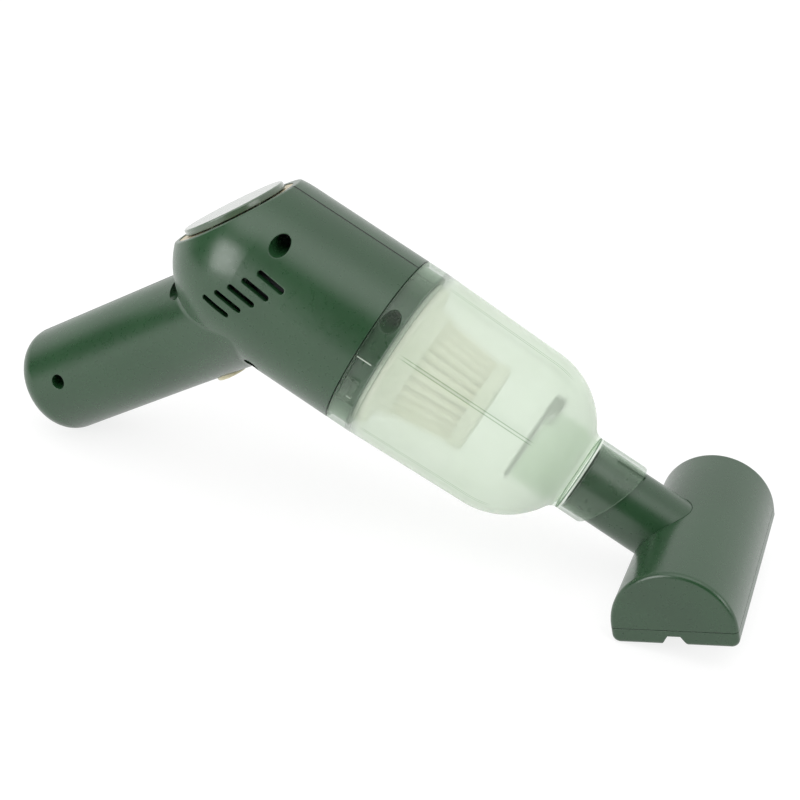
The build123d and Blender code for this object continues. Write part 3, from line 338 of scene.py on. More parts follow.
def ranged(tree: Tree, value: Socket, low: float, high: float, first: float, last: float) -> Socket:
    """Adds a Map Range node that maps one range onto another, smoothly and clamped.

    Args:
        tree: the tree that it goes into.
        value: the value to map.
        low: value that gives first.
        high: value that gives last.
        first: result at low.
        last: result at high.

    Returns:
        Its output.
    """
    node = tree.nodes.new("ShaderNodeMapRange")
    node.interpolation_type = "SMOOTHSTEP"
    tree.links.new(value, node.inputs["Value"])
    for label, number in (("From Min", low), ("From Max", high), ("To Min", first), ("To Max", last)):
        node.inputs[label].default_value = number
    return node.outputs["Result"]


def noise(tree: Tree, where: Socket, scale: Socket | float, detail: float) -> Socket:
    """Adds a Noise Texture node.

    Args:
        tree: the tree that it goes into.
        where: its coordinates.
        scale: its scale.
        detail: how many finer layers it has.

    Returns:
        Its value.
    """
    node = tree.nodes.new("ShaderNodeTexNoise")
    tree.links.new(where, node.inputs["Vector"])
    attach(tree, scale, node.inputs["Scale"])
    node.inputs["Detail"].default_value = detail
    return node.outputs[0]


def blend(tree: Tree, share: Socket, first: Socket | Colour, second: Socket | Colour) -> Socket:
    """Adds a Mix node for colours.

    Args:
        tree: the tree that it goes into.
        share: share of the second colour.
        first: colour where the share is nought.
        second: colour where the share is one.

    Returns:
        The mixed colour.
    """
    node = tree.nodes.new("ShaderNodeMix")
    node.data_type = "RGBA"
    attach(tree, share, node.inputs[0])
    attach(tree, first, node.inputs[6])
    attach(tree, second, node.inputs[7])
    return node.outputs[2]


def placed(tree: Tree, group: Tree, where: Socket, values: dict[str, Colour | float]) -> bpy.types.Node:
    """Places a shared effect in a material.

    Args:
        tree: the material's tree.
        group: the effect's group.
        where: the Object coordinates.
        values: the value of each of its named inputs.

    Returns:
        The group's node.
    """
    node = tree.nodes.new("ShaderNodeGroup")
    node.node_tree = group
    tree.links.new(where, node.inputs["Vector"])
    for label, value in values.items():
        attach(tree, value, node.inputs[label])
    return node


def emboss(tree: Tree, height: Socket, millimetres: float, shader: bpy.types.Node, edge: float = 0.0) -> None:
    """Feeds a height through a Bump node into the shader's normal.

    Args:
        tree: the material's tree.
        height: the height, from nought to one.
        millimetres: what a height of one stands for.
        shader: the shader whose normal it turns.
        edge: radius in millimetres that sharp edges look rounded by, or nought.
    """
    bump = tree.nodes.new("ShaderNodeBump")
    bump.inputs["Strength"].default_value = 1.0
    bump.inputs["Distance"].default_value = millimetres * MM
    tree.links.new(height, bump.inputs["Height"])
    if edge:
        soft = tree.nodes.new("ShaderNodeBevel")
        soft.samples = 6
        soft.inputs["Radius"].default_value = edge * MM
        tree.links.new(soft.outputs["Normal"], bump.inputs["Normal"])
    tree.links.new(bump.outputs["Normal"], shader.inputs["Normal"])


def started(name: str) -> tuple[bpy.types.Material, Tree, bpy.types.Node, Socket]:
    """Makes an empty material.

    Args:
        name: name of the material.

    Returns:
        The material, its tree, its Principled shader and the Object coordinates.
    """
    material = bpy.data.materials.new(name)
    material.use_nodes = True
    tree = material.node_tree
    tree.nodes.clear()
    output = tree.nodes.new("ShaderNodeOutputMaterial")
    shader = tree.nodes.new("ShaderNodeBsdfPrincipled")
    where = tree.nodes.new("ShaderNodeTexCoord")
    tree.links.new(shader.outputs[0], output.inputs["Surface"])
    return material, tree, shader, where.outputs["Object"]


# Shader effects that several finishes share


class Surface(Enum):
    """Which shared effect makes a finish's skin."""

    MOULDED = "Moulded surface"
    DRAWN = "Drawn metal"
    FIBRE = "Fibres"


class Effects:
    """Node groups for moulded grain, drawn metal, fibres, a parting line and the place on the cup."""

    SKIN = {"Colour": "Color", "Roughness": "Float", "Height": "Float"}
    CLOUD_SCALE = 38.0
    SCUFF_SCALE = 420.0
    STREAK_SCALE = (120.0, 2200.0, 2200.0)

    def __init__(self, barrel: BarrelFrame) -> None:
        """Builds each group once.

        Args:
            barrel: the axes that the place on the cup is measured along.
        """
        self.barrel = barrel
        self.skins = {
            Surface.MOULDED: self._moulded(),
            Surface.DRAWN: self._drawn(),
            Surface.FIBRE: self._fibres(),
        }
        self.parting = self._parting()
        self.cup_place = self._cup_place()

    @staticmethod
    def _start(
        name: str, inputs: dict[str, Colour | float], outputs: dict[str, str]
    ) -> tuple[Tree, bpy.types.NodeOutputs, bpy.types.NodeInputs]:
        """Makes an empty group with a vector input, the named inputs and the named outputs.

        Args:
            name: name of the group.
            inputs: name and default of each input, a colour where the default has three numbers.
            outputs: name and kind, Float or Color, of each output.

        Returns:
            The group's tree, what comes into it and what goes out of it.
        """
        tree = bpy.data.node_groups.new(name, "ShaderNodeTree")
        tree.interface.new_socket("Vector", in_out="INPUT", socket_type="NodeSocketVector")
        for label, value in inputs.items():
            kind = "NodeSocketColor" if isinstance(value, tuple) else "NodeSocketFloat"
            attach(tree, value, tree.interface.new_socket(label, in_out="INPUT", socket_type=kind))
        for label, kind in outputs.items():
            tree.interface.new_socket(label, in_out="OUTPUT", socket_type=f"NodeSocket{kind}")
        return tree, tree.nodes.new("NodeGroupInput").outputs, tree.nodes.new("NodeGroupOutput").inputs

    def _moulded(self) -> Tree:
        """Moulded plastic: a slow cloud between two shades, a fine spark-eroded grain and slight scuffs.

        Returns:
            The group's tree.
        """
        light, dark = (0.5, 0.5, 0.5), (0.4, 0.4, 0.4)
        inputs = {"Colour": light, "Shade": dark, "Roughness": 0.4, "Spread": 0.08, "Grain": 2600.0}
        tree, inside, out = self._start(Surface.MOULDED.value, inputs, self.SKIN)
        cloud = ranged(tree, noise(tree, inside["Vector"], self.CLOUD_SCALE, 3.0), 0.35, 0.68, 0.0, 1.0)
        tree.links.new(blend(tree, cloud, inside["Colour"], inside["Shade"]), out["Colour"])
        worn = ranged(tree, noise(tree, inside["Vector"], self.SCUFF_SCALE, 4.0), 0.3, 0.75, -0.5, 0.5)
        rough = sums(tree, "MULTIPLY_ADD", worn, inside["Spread"], inside["Roughness"])
        tree.links.new(rough, out["Roughness"])
        tree.links.new(noise(tree, inside["Vector"], inside["Grain"], 2.0), out["Height"])
        return tree

    def _drawn(self) -> Tree:
        """Drawn metal: noise stretched along one axis, as a tone, a roughness and a height.

        Returns:
            The group's tree.
        """
        inputs = {"Colour": (0.6, 0.6, 0.6), "Shade": (0.45, 0.45, 0.45), "Roughness": 0.35}
        tree, inside, out = self._start(Surface.DRAWN.value, inputs, self.SKIN)
        stretch = tree.nodes.new("ShaderNodeMapping")
        stretch.inputs["Scale"].default_value = self.STREAK_SCALE
        tree.links.new(inside["Vector"], stretch.inputs["Vector"])
        streak = noise(tree, stretch.outputs["Vector"], 1.0, 3.0)
        tree.links.new(blend(tree, streak, inside["Colour"], inside["Shade"]), out["Colour"])
        tree.links.new(sums(tree, "MULTIPLY_ADD", streak, 0.2, inside["Roughness"]), out["Roughness"])
        tree.links.new(streak, out["Height"])
        return tree

    def _fibres(self) -> Tree:
        """Pressed fibres or open foam: cells of two sizes, darker between them.

        Returns:
            The group's tree.
        """
        fine_share, cell_share = 0.6, 0.4
        inputs = {"Colour": (0.8, 0.8, 0.7), "Shade": (0.6, 0.6, 0.5), "Size": 1800.0}
        tree, inside, out = self._start(Surface.FIBRE.value, inputs, self.SKIN)
        cells = tree.nodes.new("ShaderNodeTexVoronoi")
        cells.feature = "DISTANCE_TO_EDGE"
        tree.links.new(inside["Vector"], cells.inputs["Vector"])
        tree.links.new(inside["Size"], cells.inputs["Scale"])
        fine = noise(tree, inside["Vector"], inside["Size"], 4.0)
        wall = ranged(tree, cells.outputs["Distance"], 0.0, 0.25, 0.0, 1.0)
        mixed = sums(tree, "MULTIPLY_ADD", fine, fine_share, sums(tree, "MULTIPLY", wall, cell_share))
        tree.links.new(blend(tree, mixed, inside["Shade"], inside["Colour"]), out["Colour"])
        tree.links.new(ranged(tree, fine, 0.2, 0.8, 0.75, 0.95), out["Roughness"])
        tree.links.new(mixed, out["Height"])
        return tree

    def _parting(self) -> Tree:
        """Parting line: one on the plane at y nought, falling to nought over its width on both sides.

        Returns:
            The group's tree.
        """
        tree, inside, out = self._start("Parting line", {"Width": 0.0002}, {"Mask": "Float"})
        split = tree.nodes.new("ShaderNodeSeparateXYZ")
        tree.links.new(inside["Vector"], split.inputs[0])
        share = sums(tree, "DIVIDE", sums(tree, "ABSOLUTE", split.outputs["Y"]), inside["Width"])
        tree.links.new(ranged(tree, share, 0.5, 1.0, 1.0, 0.0), out["Mask"])
        return tree

    def _cup_place(self) -> Tree:
        """Place on the cup in millimetres: along the barrel's axis, and across from the nearest rib.

        The angle round the axis from the top is divided by the angle between two ribs. What is left of it
        past the nearest whole number, times that angle and the radius, is the way across.

        Returns:
            The group's tree.
        """
        tree, inside, out = self._start("Place on the cup", {}, {"Along": "Float", "Across": "Float"})
        between = FULL_TURN / RIB_COUNT
        step = tree.nodes.new("ShaderNodeVectorMath")
        step.operation = "SUBTRACT"
        tree.links.new(inside["Vector"], step.inputs[0])
        step.inputs[1].default_value = self.barrel.start
        found = []
        for way in (self.barrel.forward, LEFT, self.barrel.top):
            part = tree.nodes.new("ShaderNodeVectorMath")
            part.operation = "DOT_PRODUCT"
            tree.links.new(step.outputs["Vector"], part.inputs[0])
            part.inputs[1].default_value = way
            found.append(sums(tree, "DIVIDE", part.outputs["Value"], MM))
        along, side, up = found
        tree.links.new(along, out["Along"])
        share = sums(tree, "DIVIDE", sums(tree, "ARCTAN2", side, up), between)
        rest = sums(tree, "SUBTRACT", share, sums(tree, "ROUND", share))
        radius = sums(tree, "SQRT", sums(tree, "MULTIPLY_ADD", side, side, sums(tree, "MULTIPLY", up, up)))
        tree.links.new(sums(tree, "MULTIPLY", sums(tree, "MULTIPLY", rest, radius), between), out["Across"])
        return tree


# Finishes


@dataclass(frozen=True)
class PartingLine:
    """Joint line of the two half shells: its width in millimetres, its depth in times the finish's relief."""

    width: float = 0.55
    tone: Colour = (0.01, 0.015, 0.01)
    roughness: float = 0.95
    depth: float = 60.0


@dataclass(frozen=True)
class Finish:
    """One material, its colours as linear light, its relief and its rounded edges in millimetres."""

    name: str
    colour: Colour
    shade: Colour
    surface: Surface = Surface.MOULDED
    roughness: float = 0.4
    spread: float = 0.08
    grain: float = 2600.0
    relief: float = 0.004
    metal: float = 0.0
    coat: float = 0.0
    coat_roughness: float = 0.25
    specular: float = 0.5
    edge: float = 0.0
    parting: PartingLine | None = None

    def skin_values(self) -> dict[str, Colour | float]:
        """Values of the inputs that the finish's shared effect has.

        Returns:
            The value of each input by its name.
        """
        values: dict[str, Colour | float] = {"Colour": self.colour, "Shade": self.shade}
        if self.surface is Surface.FIBRE:
            return values | {"Size": self.grain}
        values["Roughness"] = self.roughness
        if self.surface is Surface.MOULDED:
            values |= {"Spread": self.spread, "Grain": self.grain}
        return values

    def make(self, effects: Effects) -> bpy.types.Material:
        """Builds the material.

        Args:
            effects: the shared node groups.

        Returns:
            The new material.
        """
        material, tree, shader, where = started(self.name)
        skin = placed(tree, effects.skins[self.surface], where, self.skin_values()).outputs
        tone, rough, height = skin["Colour"], skin["Roughness"], skin["Height"]
        if self.parting:
            width = {"Width": self.parting.width * MM}
            mask = placed(tree, effects.parting, where, width).outputs["Mask"]
            tone = blend(tree, mask, tone, self.parting.tone)
            rough = sums(tree, "MAXIMUM", rough, sums(tree, "MULTIPLY", mask, self.parting.roughness))
            height = sums(tree, "MULTIPLY_ADD", mask, -self.parting.depth, height)
        tree.links.new(tone, shader.inputs["Base Color"])
        tree.links.new(rough, shader.inputs["Roughness"])
        emboss(tree, height, self.relief, shader, self.edge)
        shader.inputs["Metallic"].default_value = self.metal
        shader.inputs["Coat Weight"].default_value = self.coat
        shader.inputs["Coat Roughness"].default_value = self.coat_roughness
        shader.inputs["Specular IOR Level"].default_value = self.specular
        return material


@dataclass(frozen=True)
class CupMarks:
    """What shows on the frosted wall: thin darker lines of painted shade along the two edges of each rib, and
    its soft start.

    Starts and ends are ranges of stations along the barrel. A line lies at the edge's distance from a
    rib's middle, is full within its core and gone at its fade. All are in millimetres.
    """

    edge: float = 0.6
    core: float = 0.06
    fade: float = 0.34
    lines_start: tuple[float, float] = (13.0, 18.0)
    lines_end: tuple[float, float] = (68.0, 73.0)
    frosting_start: tuple[float, float] = (8.0, 15.0)
    frosting_least: float = 0.7
    shade_line_alpha: float = 0.65
    # painted shade: tone of the darker lines along the ribs' edges
    line: Colour = paint(166, 192, 162)
    start: Colour = paint(132, 150, 134)

    def masks(self, tree: Tree, effects: Effects, where: Socket) -> tuple[Socket, Socket]:
        """Adds the nodes that find the lines and the frosting's start.

        Args:
            tree: the material's tree.
            effects: the shared node groups.
            where: the Object coordinates.

        Returns:
            The mask of the lines, and the share of the frosting.
        """
        place = placed(tree, effects.cup_place, where, {}).outputs
        off = sums(tree, "SUBTRACT", sums(tree, "ABSOLUTE", place["Across"]), self.edge)
        line = ranged(tree, sums(tree, "ABSOLUTE", off), self.core, self.fade, 1.0, 0.0)
        begun = ranged(tree, place["Along"], *self.lines_start, 0.0, 1.0)
        going = ranged(tree, place["Along"], *self.lines_end, 1.0, 0.0)
        frosting = ranged(tree, place["Along"], *self.frosting_start, 0.0, 1.0)
        return sums(tree, "MULTIPLY", line, sums(tree, "MULTIPLY", begun, going)), frosting


@dataclass(frozen=True)
class ClearFinish:
    """See-through plastic, clear or frosted, with a slow cloud in its colour and a fine grain.

    Its grazing sheen share is added to its alpha where one looks along the surface, a painted reflection that
    shows its pale colour along edges seen edge-on. Its spread is a share of its roughness, and its relief is
    in millimetres.
    """

    name: str
    colour: Colour
    shade: Colour
    roughness: float
    alpha: float
    transmission: float = 0.0
    relief: float = 0.0
    grain: float = 3200.0
    spread: float = 0.15
    coat: float = 0.3
    coat_roughness: float = 0.1
    refraction: float = 1.08
    mirror: float = 0.0
    grazing_sheen: float = 0.0
    grazing_sheen_power: float = 2.2
    marks: CupMarks | None = None

    def make(self, effects: Effects) -> bpy.types.Material:
        """Builds the material.

        Args:
            effects: the shared node groups.

        Returns:
            The new material.
        """
        material, tree, shader, where = started(self.name)
        values = {
            "Colour": self.colour,
            "Shade": self.shade,
            "Roughness": self.roughness,
            "Spread": self.roughness * self.spread,
            "Grain": self.grain,
        }
        skin = placed(tree, effects.skins[Surface.MOULDED], where, values).outputs
        tone, alpha = skin["Colour"], self.alpha
        if self.marks:
            line, frost = self.marks.masks(tree, effects, where)
            # painted shade lines along the ribs' edges darken the tone and raise the alpha
            tone = blend(tree, line, blend(tree, frost, self.marks.start, tone), self.marks.line)
            least = self.marks.frosting_least
            alpha = sums(tree, "MULTIPLY", sums(tree, "MULTIPLY_ADD", frost, 1 - least, least), alpha)
            alpha = sums(tree, "MAXIMUM", alpha, sums(tree, "MULTIPLY", line, self.marks.shade_line_alpha))
        # painted reflection: alpha rises where the surface is seen edge-on, so its edges show the pale colour
        if self.grazing_sheen:
            facing = tree.nodes.new("ShaderNodeLayerWeight")
            share = sums(tree, "POWER", facing.outputs["Facing"], self.grazing_sheen_power)
            alpha = sums(tree, "MULTIPLY_ADD", share, self.grazing_sheen, alpha)
        tree.links.new(tone, shader.inputs["Base Color"])
        tree.links.new(skin["Roughness"], shader.inputs["Roughness"])
        emboss(tree, skin["Height"], self.relief, shader)
        attach(tree, alpha, shader.inputs["Alpha"])
        shader.inputs["Transmission Weight"].default_value = self.transmission
        shader.inputs["IOR"].default_value = self.refraction
        shader.inputs["Metallic"].default_value = self.mirror
        shader.inputs["Coat Weight"].default_value = self.coat
        shader.inputs["Coat Roughness"].default_value = self.coat_roughness
        return material


GREEN = Finish(
    "Dark green plastic",
    paint(32, 69, 39),
    paint(29, 65, 36),
    roughness=0.29,
    spread=0.04,
    relief=0.002,
    specular=0.75,
    edge=0.5,
    parting=PartingLine(),
)
HEAD_GREEN = Finish(
    "Dark green head plastic",
    paint(33, 67, 39),
    paint(30, 63, 36),
    roughness=0.29,
    spread=0.04,
    relief=0.002,
    specular=0.75,
    edge=0.6,
)
# painted light: a lighter green than the body's, standing for light from above and the grazing reflection on
# the cap's top
CAP_LIT_GREEN = Finish(
    "Cap green lightened by painted light",
    paint(80, 100, 80),
    paint(76, 96, 76),
    roughness=0.24,
    spread=0.04,
    relief=0.002,
    coat=1.0,
    edge=0.3,
)
CUP_FROSTED = ClearFinish(
    "Frosted cup plastic",
    paint(225, 238, 221),
    paint(220, 234, 215),
    roughness=0.24,
    alpha=0.72,
    transmission=0.36,
    relief=0.003,
    coat=0.15,
    marks=CupMarks(),
)
# clear plastic with a painted reflection of pale colour along its edges seen edge-on
CUP_CLEAR = ClearFinish(
    "Clear cup plastic",
    paint(172, 192, 172),
    paint(166, 187, 166),
    roughness=0.12,
    alpha=0.045,
    coat=0.1,
    mirror=0.2,
    grazing_sheen=0.8,
)
CUP_SMOOTH = ClearFinish("Smooth inside of the cup", paint(232, 244, 229), paint(227, 240, 223), 0.2, 0.08)
# painted highlight: a near-white, half opaque finish on the neck's bright strip and on the rim's stops
CUP_HIGHLIGHT = ClearFinish("Painted highlight on the cup", paint(236, 246, 234), paint(230, 242, 228), 0.2, 0.6)
# painted shade: a dark, nearly opaque green on the step where the neck starts
CUP_SHADED_STEP = ClearFinish("Painted shade on the cup's step", paint(96, 128, 96), paint(90, 120, 90), 0.3, 0.85)
CUP_END = ClearFinish("Shaded edge of the cup", paint(120, 142, 121), paint(114, 136, 115), 0.3, 0.4)
CUP_DUCT = ClearFinish("Duct of the cup", paint(204, 242, 196), paint(198, 238, 190), 0.2, 0.24)
CREAM = Finish("Cream plastic", paint(208, 196, 166), paint(206, 193, 161), roughness=0.45, edge=0.2)
GOLD = Finish("Pearl gold plastic", paint(230, 222, 188), paint(222, 212, 176), roughness=0.3, coat=0.3)
FLAP = Finish("Dark flap rubber", paint(34, 40, 34), paint(28, 34, 28), roughness=0.7, relief=0.01)
SEAL = Finish("Pale seal rubber", paint(218, 222, 208), paint(208, 213, 198), roughness=0.6, relief=0.008)
FILTER_PLASTIC = Finish("Filter plastic", paint(228, 224, 210), paint(222, 217, 202), roughness=0.5)
PAPER = Finish(
    "Pleated filter paper",
    paint(238, 231, 214),
    paint(218, 209, 188),
    Surface.FIBRE,
    grain=1500.0,
    relief=0.05,
)
FOAM = Finish("Open foam", paint(70, 72, 70), paint(24, 25, 24), Surface.FIBRE, grain=900.0, relief=0.25)
SCREW = Finish(
    "Zinc-plated screws",
    paint(176, 176, 172),
    paint(140, 140, 138),
    Surface.DRAWN,
    roughness=0.38,
    metal=1.0,
    relief=0.002,
)
STEEL = Finish(
    "Drawn steel",
    paint(186, 187, 190),
    paint(160, 161, 164),
    Surface.DRAWN,
    roughness=0.3,
    metal=1.0,
    relief=0.002,
)
BLUED = Finish(
    "Blackened steel",
    paint(70, 72, 74),
    paint(54, 56, 58),
    Surface.DRAWN,
    roughness=0.42,
    metal=0.8,
    relief=0.002,
)
BRONZE = Finish(
    "Sintered bronze",
    paint(196, 158, 92),
    paint(164, 128, 70),
    roughness=0.45,
    metal=1.0,
    relief=0.01,
)
FERRITE = Finish("Matte ferrite", paint(72, 72, 74), paint(56, 56, 58), roughness=0.75, relief=0.02)
LAMINATION = Finish(
    "Stacked sheet steel",
    paint(150, 146, 140),
    paint(112, 108, 102),
    Surface.DRAWN,
    roughness=0.45,
    metal=1.0,
)
BLACK = Finish("Matte black plastic", paint(38, 38, 39), paint(30, 30, 31), roughness=0.55)
FAN = Finish("Dark grey fan plastic", paint(66, 67, 69), paint(56, 57, 59), roughness=0.45)
MOUNT = Finish("Black mount rubber", paint(34, 34, 34), paint(26, 26, 26), roughness=0.8, relief=0.012)
WRAP = Finish(
    "Blue cell wrap",
    paint(58, 112, 176),
    paint(48, 98, 160),
    roughness=0.25,
    coat=0.4,
    relief=0.003,
)
NICKEL = Finish(
    "Nickel strip",
    paint(200, 198, 190),
    paint(176, 174, 166),
    Surface.DRAWN,
    roughness=0.32,
    metal=1.0,
)
BOARD = Finish(
    "Green board lacquer",
    paint(26, 104, 62),
    paint(20, 88, 50),
    roughness=0.28,
    coat=0.5,
    grain=900.0,
)
LEAD = Finish("Red wire sleeve", paint(176, 38, 32), paint(152, 28, 26), roughness=0.4)

NODE_FINISHES: dict[str, Finish] = {
    "housing_left": GREEN,
    "housing_right": GREEN,
    "housing_screws": SCREW,
    "exhaust_ring": CREAM,
    "exhaust_cap": CAP_LIT_GREEN,
    "exhaust_foam": FOAM,
    "power_button": GOLD,
    "switch_plunger": BLACK,
    "power_switch": BLACK,
    "control_board": BOARD,
    "battery_cell_left": WRAP,
    "battery_cell_right": WRAP,
    "battery_holder": BLACK,
    "battery_tab_top": NICKEL,
    "battery_tab_bottom": NICKEL,
    "charging_socket": STEEL,
    "charging_board": BOARD,
    "intake_guard": HEAD_GREEN,
    "fan_shroud": FAN,
    "fan_plate": BLUED,
    "fan_plate_screws": SCREW,
    "impeller": FAN,
    "motor_can": BLUED,
    "motor_end_bell": BLACK,
    "motor_bushes": BRONZE,
    "motor_magnets": FERRITE,
    "motor_armature": LAMINATION,
    "motor_shaft": STEEL,
    "motor_mount_front": MOUNT,
    "motor_mount_rear": MOUNT,
    "motor_leads": LEAD,
    "cup_seal": SEAL,
    "inlet_flap": FLAP,
    "flap_pin": STEEL,
    "filter_base": FILTER_PLASTIC,
    "filter_media": PAPER,
    "filter_end_cap": FILTER_PLASTIC,
    "filter_gasket": SEAL,
    "nozzle_tube": HEAD_GREEN,
    "brush_head_shell": HEAD_GREEN,
    "sole_plate": HEAD_GREEN,
    "sole_screws": SCREW,
}


class Wardrobe:
    """Makes each finish once and dresses pieces in it."""

    def __init__(self, effects: Effects) -> None:
        """Keeps the shared effects and an empty rail of materials.

        Args:
            effects: the shared node groups.
        """
        self.effects = effects
        self.rail: dict[str, bpy.types.Material] = {}

    def get(self, finish: Finish | ClearFinish) -> bpy.types.Material:
        """Finds the finish's material, which is made at its first use.

        Args:
            finish: the finish.

        Returns:
            Its material.
        """
        if finish.name not in self.rail:
            self.rail[finish.name] = finish.make(self.effects)
        return self.rail[finish.name]

    def dress(self, piece: Piece, finish: Finish | ClearFinish) -> Piece:
        """Gives the whole piece one finish.

        Args:
            piece: the piece to dress.
            finish: the finish.

        Returns:
            The piece.
        """
        piece.data.materials.clear()
        piece.data.materials.append(self.get(finish))
        return piece

    def divide(self, piece: Piece, finishes: Sequence[ClearFinish], which: np.ndarray) -> Piece:
        """Gives each face of the piece one of several finishes.

        Args:
            piece: the piece to dress.
            finishes: the finishes, in order.
            which: for each face, the place of its finish in that order.

        Returns:
            The piece.
        """
        piece.data.materials.clear()
        for finish in finishes:
            piece.data.materials.append(self.get(finish))
        piece.data.polygons.foreach_set("material_index", which.astype(np.int32))
        return piece


# Dust cup


class Zone(IntEnum):
    """Zones of the cup's wall, each with a finish of its own."""

    FROSTED = 0
    SMOOTH = 1
    CLEAR = 2
    EDGE = 3
    # painted highlight on the strip where the neck starts
    STEP = 4
    # painted shade on the step where the neck starts
    DUCT = 5
    END = 6


ZONE_FINISHES: dict[Zone, ClearFinish] = {
    Zone.FROSTED: CUP_FROSTED,
    Zone.SMOOTH: CUP_SMOOTH,
    Zone.CLEAR: CUP_CLEAR,
    Zone.EDGE: CUP_HIGHLIGHT,
    Zone.STEP: CUP_SHADED_STEP,
    Zone.DUCT: CUP_DUCT,
    Zone.END: CUP_END,
}


@dataclass
class DustCup:
    """Frosted cup with a clear bayonet rim, ribs, lugs, inlet duct, flap ears and a slanted clear neck.

    Sizes are in millimetres, with stations along the barrel from the joint line. Angles go round its
    axis, upwards from its right side, in degrees. The flank of the keyway alone is in radians.
    """

    barrel: BarrelFrame
    wardrobe: Wardrobe
    rim: float = 0.5
    clear_end: float = 8.8
    radius: float = 36.0
    wall: float = 2.1
    taper_end: float = 61.0
    taper_radius: float = 34.2
    shoulder: float = 33.0
    neck: float = 15.8
    neck_wall: float = 1.5
    neck_fillet: float = 4.5
    edge: float = 0.35
    duct_end: float = 70.8
    duct_overlap: float = 0.8
    duct_gap: float = 1.5
    mouth_top: float = 113.9
    mouth_bottom: float = 101.5
    slant_start: float = 96.5
    step_start: float = 92.7
    strip_start: float = 93.2
    strip_end: float = 94.0
    key_start: float = 102.2
    key_half_width: float = 1.1
    key_depth: float = 0.9
    key_flank: float = 0.004
    rib_start: float = 12.3
    rib_end: float = 72.0
    rib_height: float = 0.6
    rib_thickness: float = 1.6
    rib_taper: float = 0.7
    rib_round: float = 0.12
    rib_sink: float = 0.5
    lug_angle: float = -19.5
    lug_arc: float = 19.0
    lug_start: float = 1.4
    lug_length: float = 5.2
    lug_front: float = 2.3
    lug_overlap: float = 0.5
    lug_height: float = 1.3
    lug_sink: float = 0.4
    slit_spot: float = 5.9
    slit_half: float = 0.7
    stop_spot: float = 34.6
    stop_arc: float = 0.6
    stop_start: float = 0.9
    stop_end: float = 7.2
    stop_height: float = 0.22
    stop_sink: float = 0.2
    slit_stop_length: float = 2.1
    slit_stop_height: float = 1.0
    pin_station: float = 72.4
    pin_height: float = 18.2
    ear_spot: float = 6.3
    ear_width: float = 2.0
    ear_ahead: float = 2.2
    ear_ahead_tip: float = 1.6
    ear_above: float = 1.7
    ear_below: float = 4.3
    ear_round: float = 1.2

    @property
    def inside(self) -> float:
        """Radius of the rim's inside."""
        return self.radius - self.wall

    @property
    def bore(self) -> float:
        """Radius of the neck's bore."""
        return self.neck - self.neck_wall

    @property
    def mouth(self) -> float:
        """Station of the middle of the neck's slanted mouth."""
        return (self.mouth_top + self.mouth_bottom) / 2

    @property
    def shoulder_centre(self) -> tuple[float, float]:
        """Station and height of the point that the shoulder's arc turns about."""
        return (self.taper_end, self.taper_radius - self.shoulder)

    @property
    def lug_end(self) -> float:
        """Station of the lugs' front faces."""
        return self.lug_start + self.lug_length

    def outside(self) -> list[np.ndarray]:
        """Wall's outside from the rim to the neck's mouth.

        The rim's section gives its two rounded corners. The shoulder's arc ends where it touches the
        neck's fillet, whose centre lies at both radii from the shoulder's centre and one fillet's radius
        over the neck.

        Returns:
            Runs of points (u, radius).
        """
        centre, reach = self.shoulder_centre, self.shoulder + self.neck_fillet
        rise = self.neck + self.neck_fillet - centre[1]
        lean = math.degrees(math.asin(rise / reach))
        fillet = (centre[0] + math.sqrt(reach**2 - rise**2), centre[1] + rise)
        rim, mouth, edge, steps = self.rim, self.mouth, self.edge, 4
        in_wall, past_rim = rim + 4.0, rim + 1.0
        corners = [(in_wall, self.inside, 0), (rim, self.inside, edge)]
        corners += [(rim, self.radius, edge), (in_wall, self.radius, 0)]
        return [
            rounded(corners, steps)[steps:-steps],
            np.linspace((past_rim, self.radius), (self.clear_end, self.radius), 6),
            np.linspace((self.clear_end, self.radius), (self.taper_end, self.taper_radius), 16)[1:-1],
            arc(centre, self.shoulder, 90, lean, 30),
            arc(fillet, self.neck_fillet, 180 + lean, 270, 10)[1:],
            np.array([(self.strip_end, self.neck)]),
            np.linspace((self.slant_start, self.neck), (mouth - edge, self.neck), 6),
            np.array([(mouth - edge / 3, self.neck - edge / 6), (mouth, self.neck - edge)]),
        ]

    def back(self) -> list[np.ndarray]:
        """Wall's inside from the neck's mouth through the bore, round the duct's end and along the bowl.

        The bowl's arc keeps the wall's distance from the shoulder, as far as the duct's outside.

        Returns:
            Runs of points (u, radius).
        """
        centre, bowl = self.shoulder_centre, self.shoulder - self.wall
        lean = math.degrees(math.asin((self.neck - centre[1]) / bowl))
        duct_root = centre[0] + bowl * math.cos(math.radians(lean)) - self.duct_overlap
        mouth, bore, end, edge = self.mouth, self.bore, self.duct_end, self.edge
        taper = np.linspace((self.taper_end, self.taper_radius), (self.clear_end, self.radius), 16)[1:]
        return [
            np.array([(mouth, bore + edge), (mouth - edge / 3, bore + edge / 6)]),
            np.linspace((mouth - edge, bore), (self.slant_start, bore), 6),
            np.array([(self.step_start, bore), (end + edge, bore), (end, bore + edge)]),
            np.array([(end, self.neck - edge), (end + edge, self.neck), (duct_root, self.neck)]),
            arc(centre, bowl, lean + self.duct_gap, 90, 30),
            taper - (0, self.wall),
        ]

    def inner_radius(self, u: np.ndarray) -> np.ndarray:
        """Radius of the bowl's inside: a straight taper, then an arc about the shoulder's centre.

        Args:
            u: stations along the barrel.

        Returns:
            The radius at each.
        """
        share = np.clip((u - self.clear_end) / (self.taper_end - self.clear_end), 0, 1)
        straight = self.radius - (self.radius - self.taper_radius) * share - self.wall
        reach = np.clip(u - self.taper_end, 0, None)
        curved = self.shoulder_centre[1] + np.sqrt((self.shoulder - self.wall) ** 2 - reach**2)
        return np.where(u > self.taper_end, curved, straight)

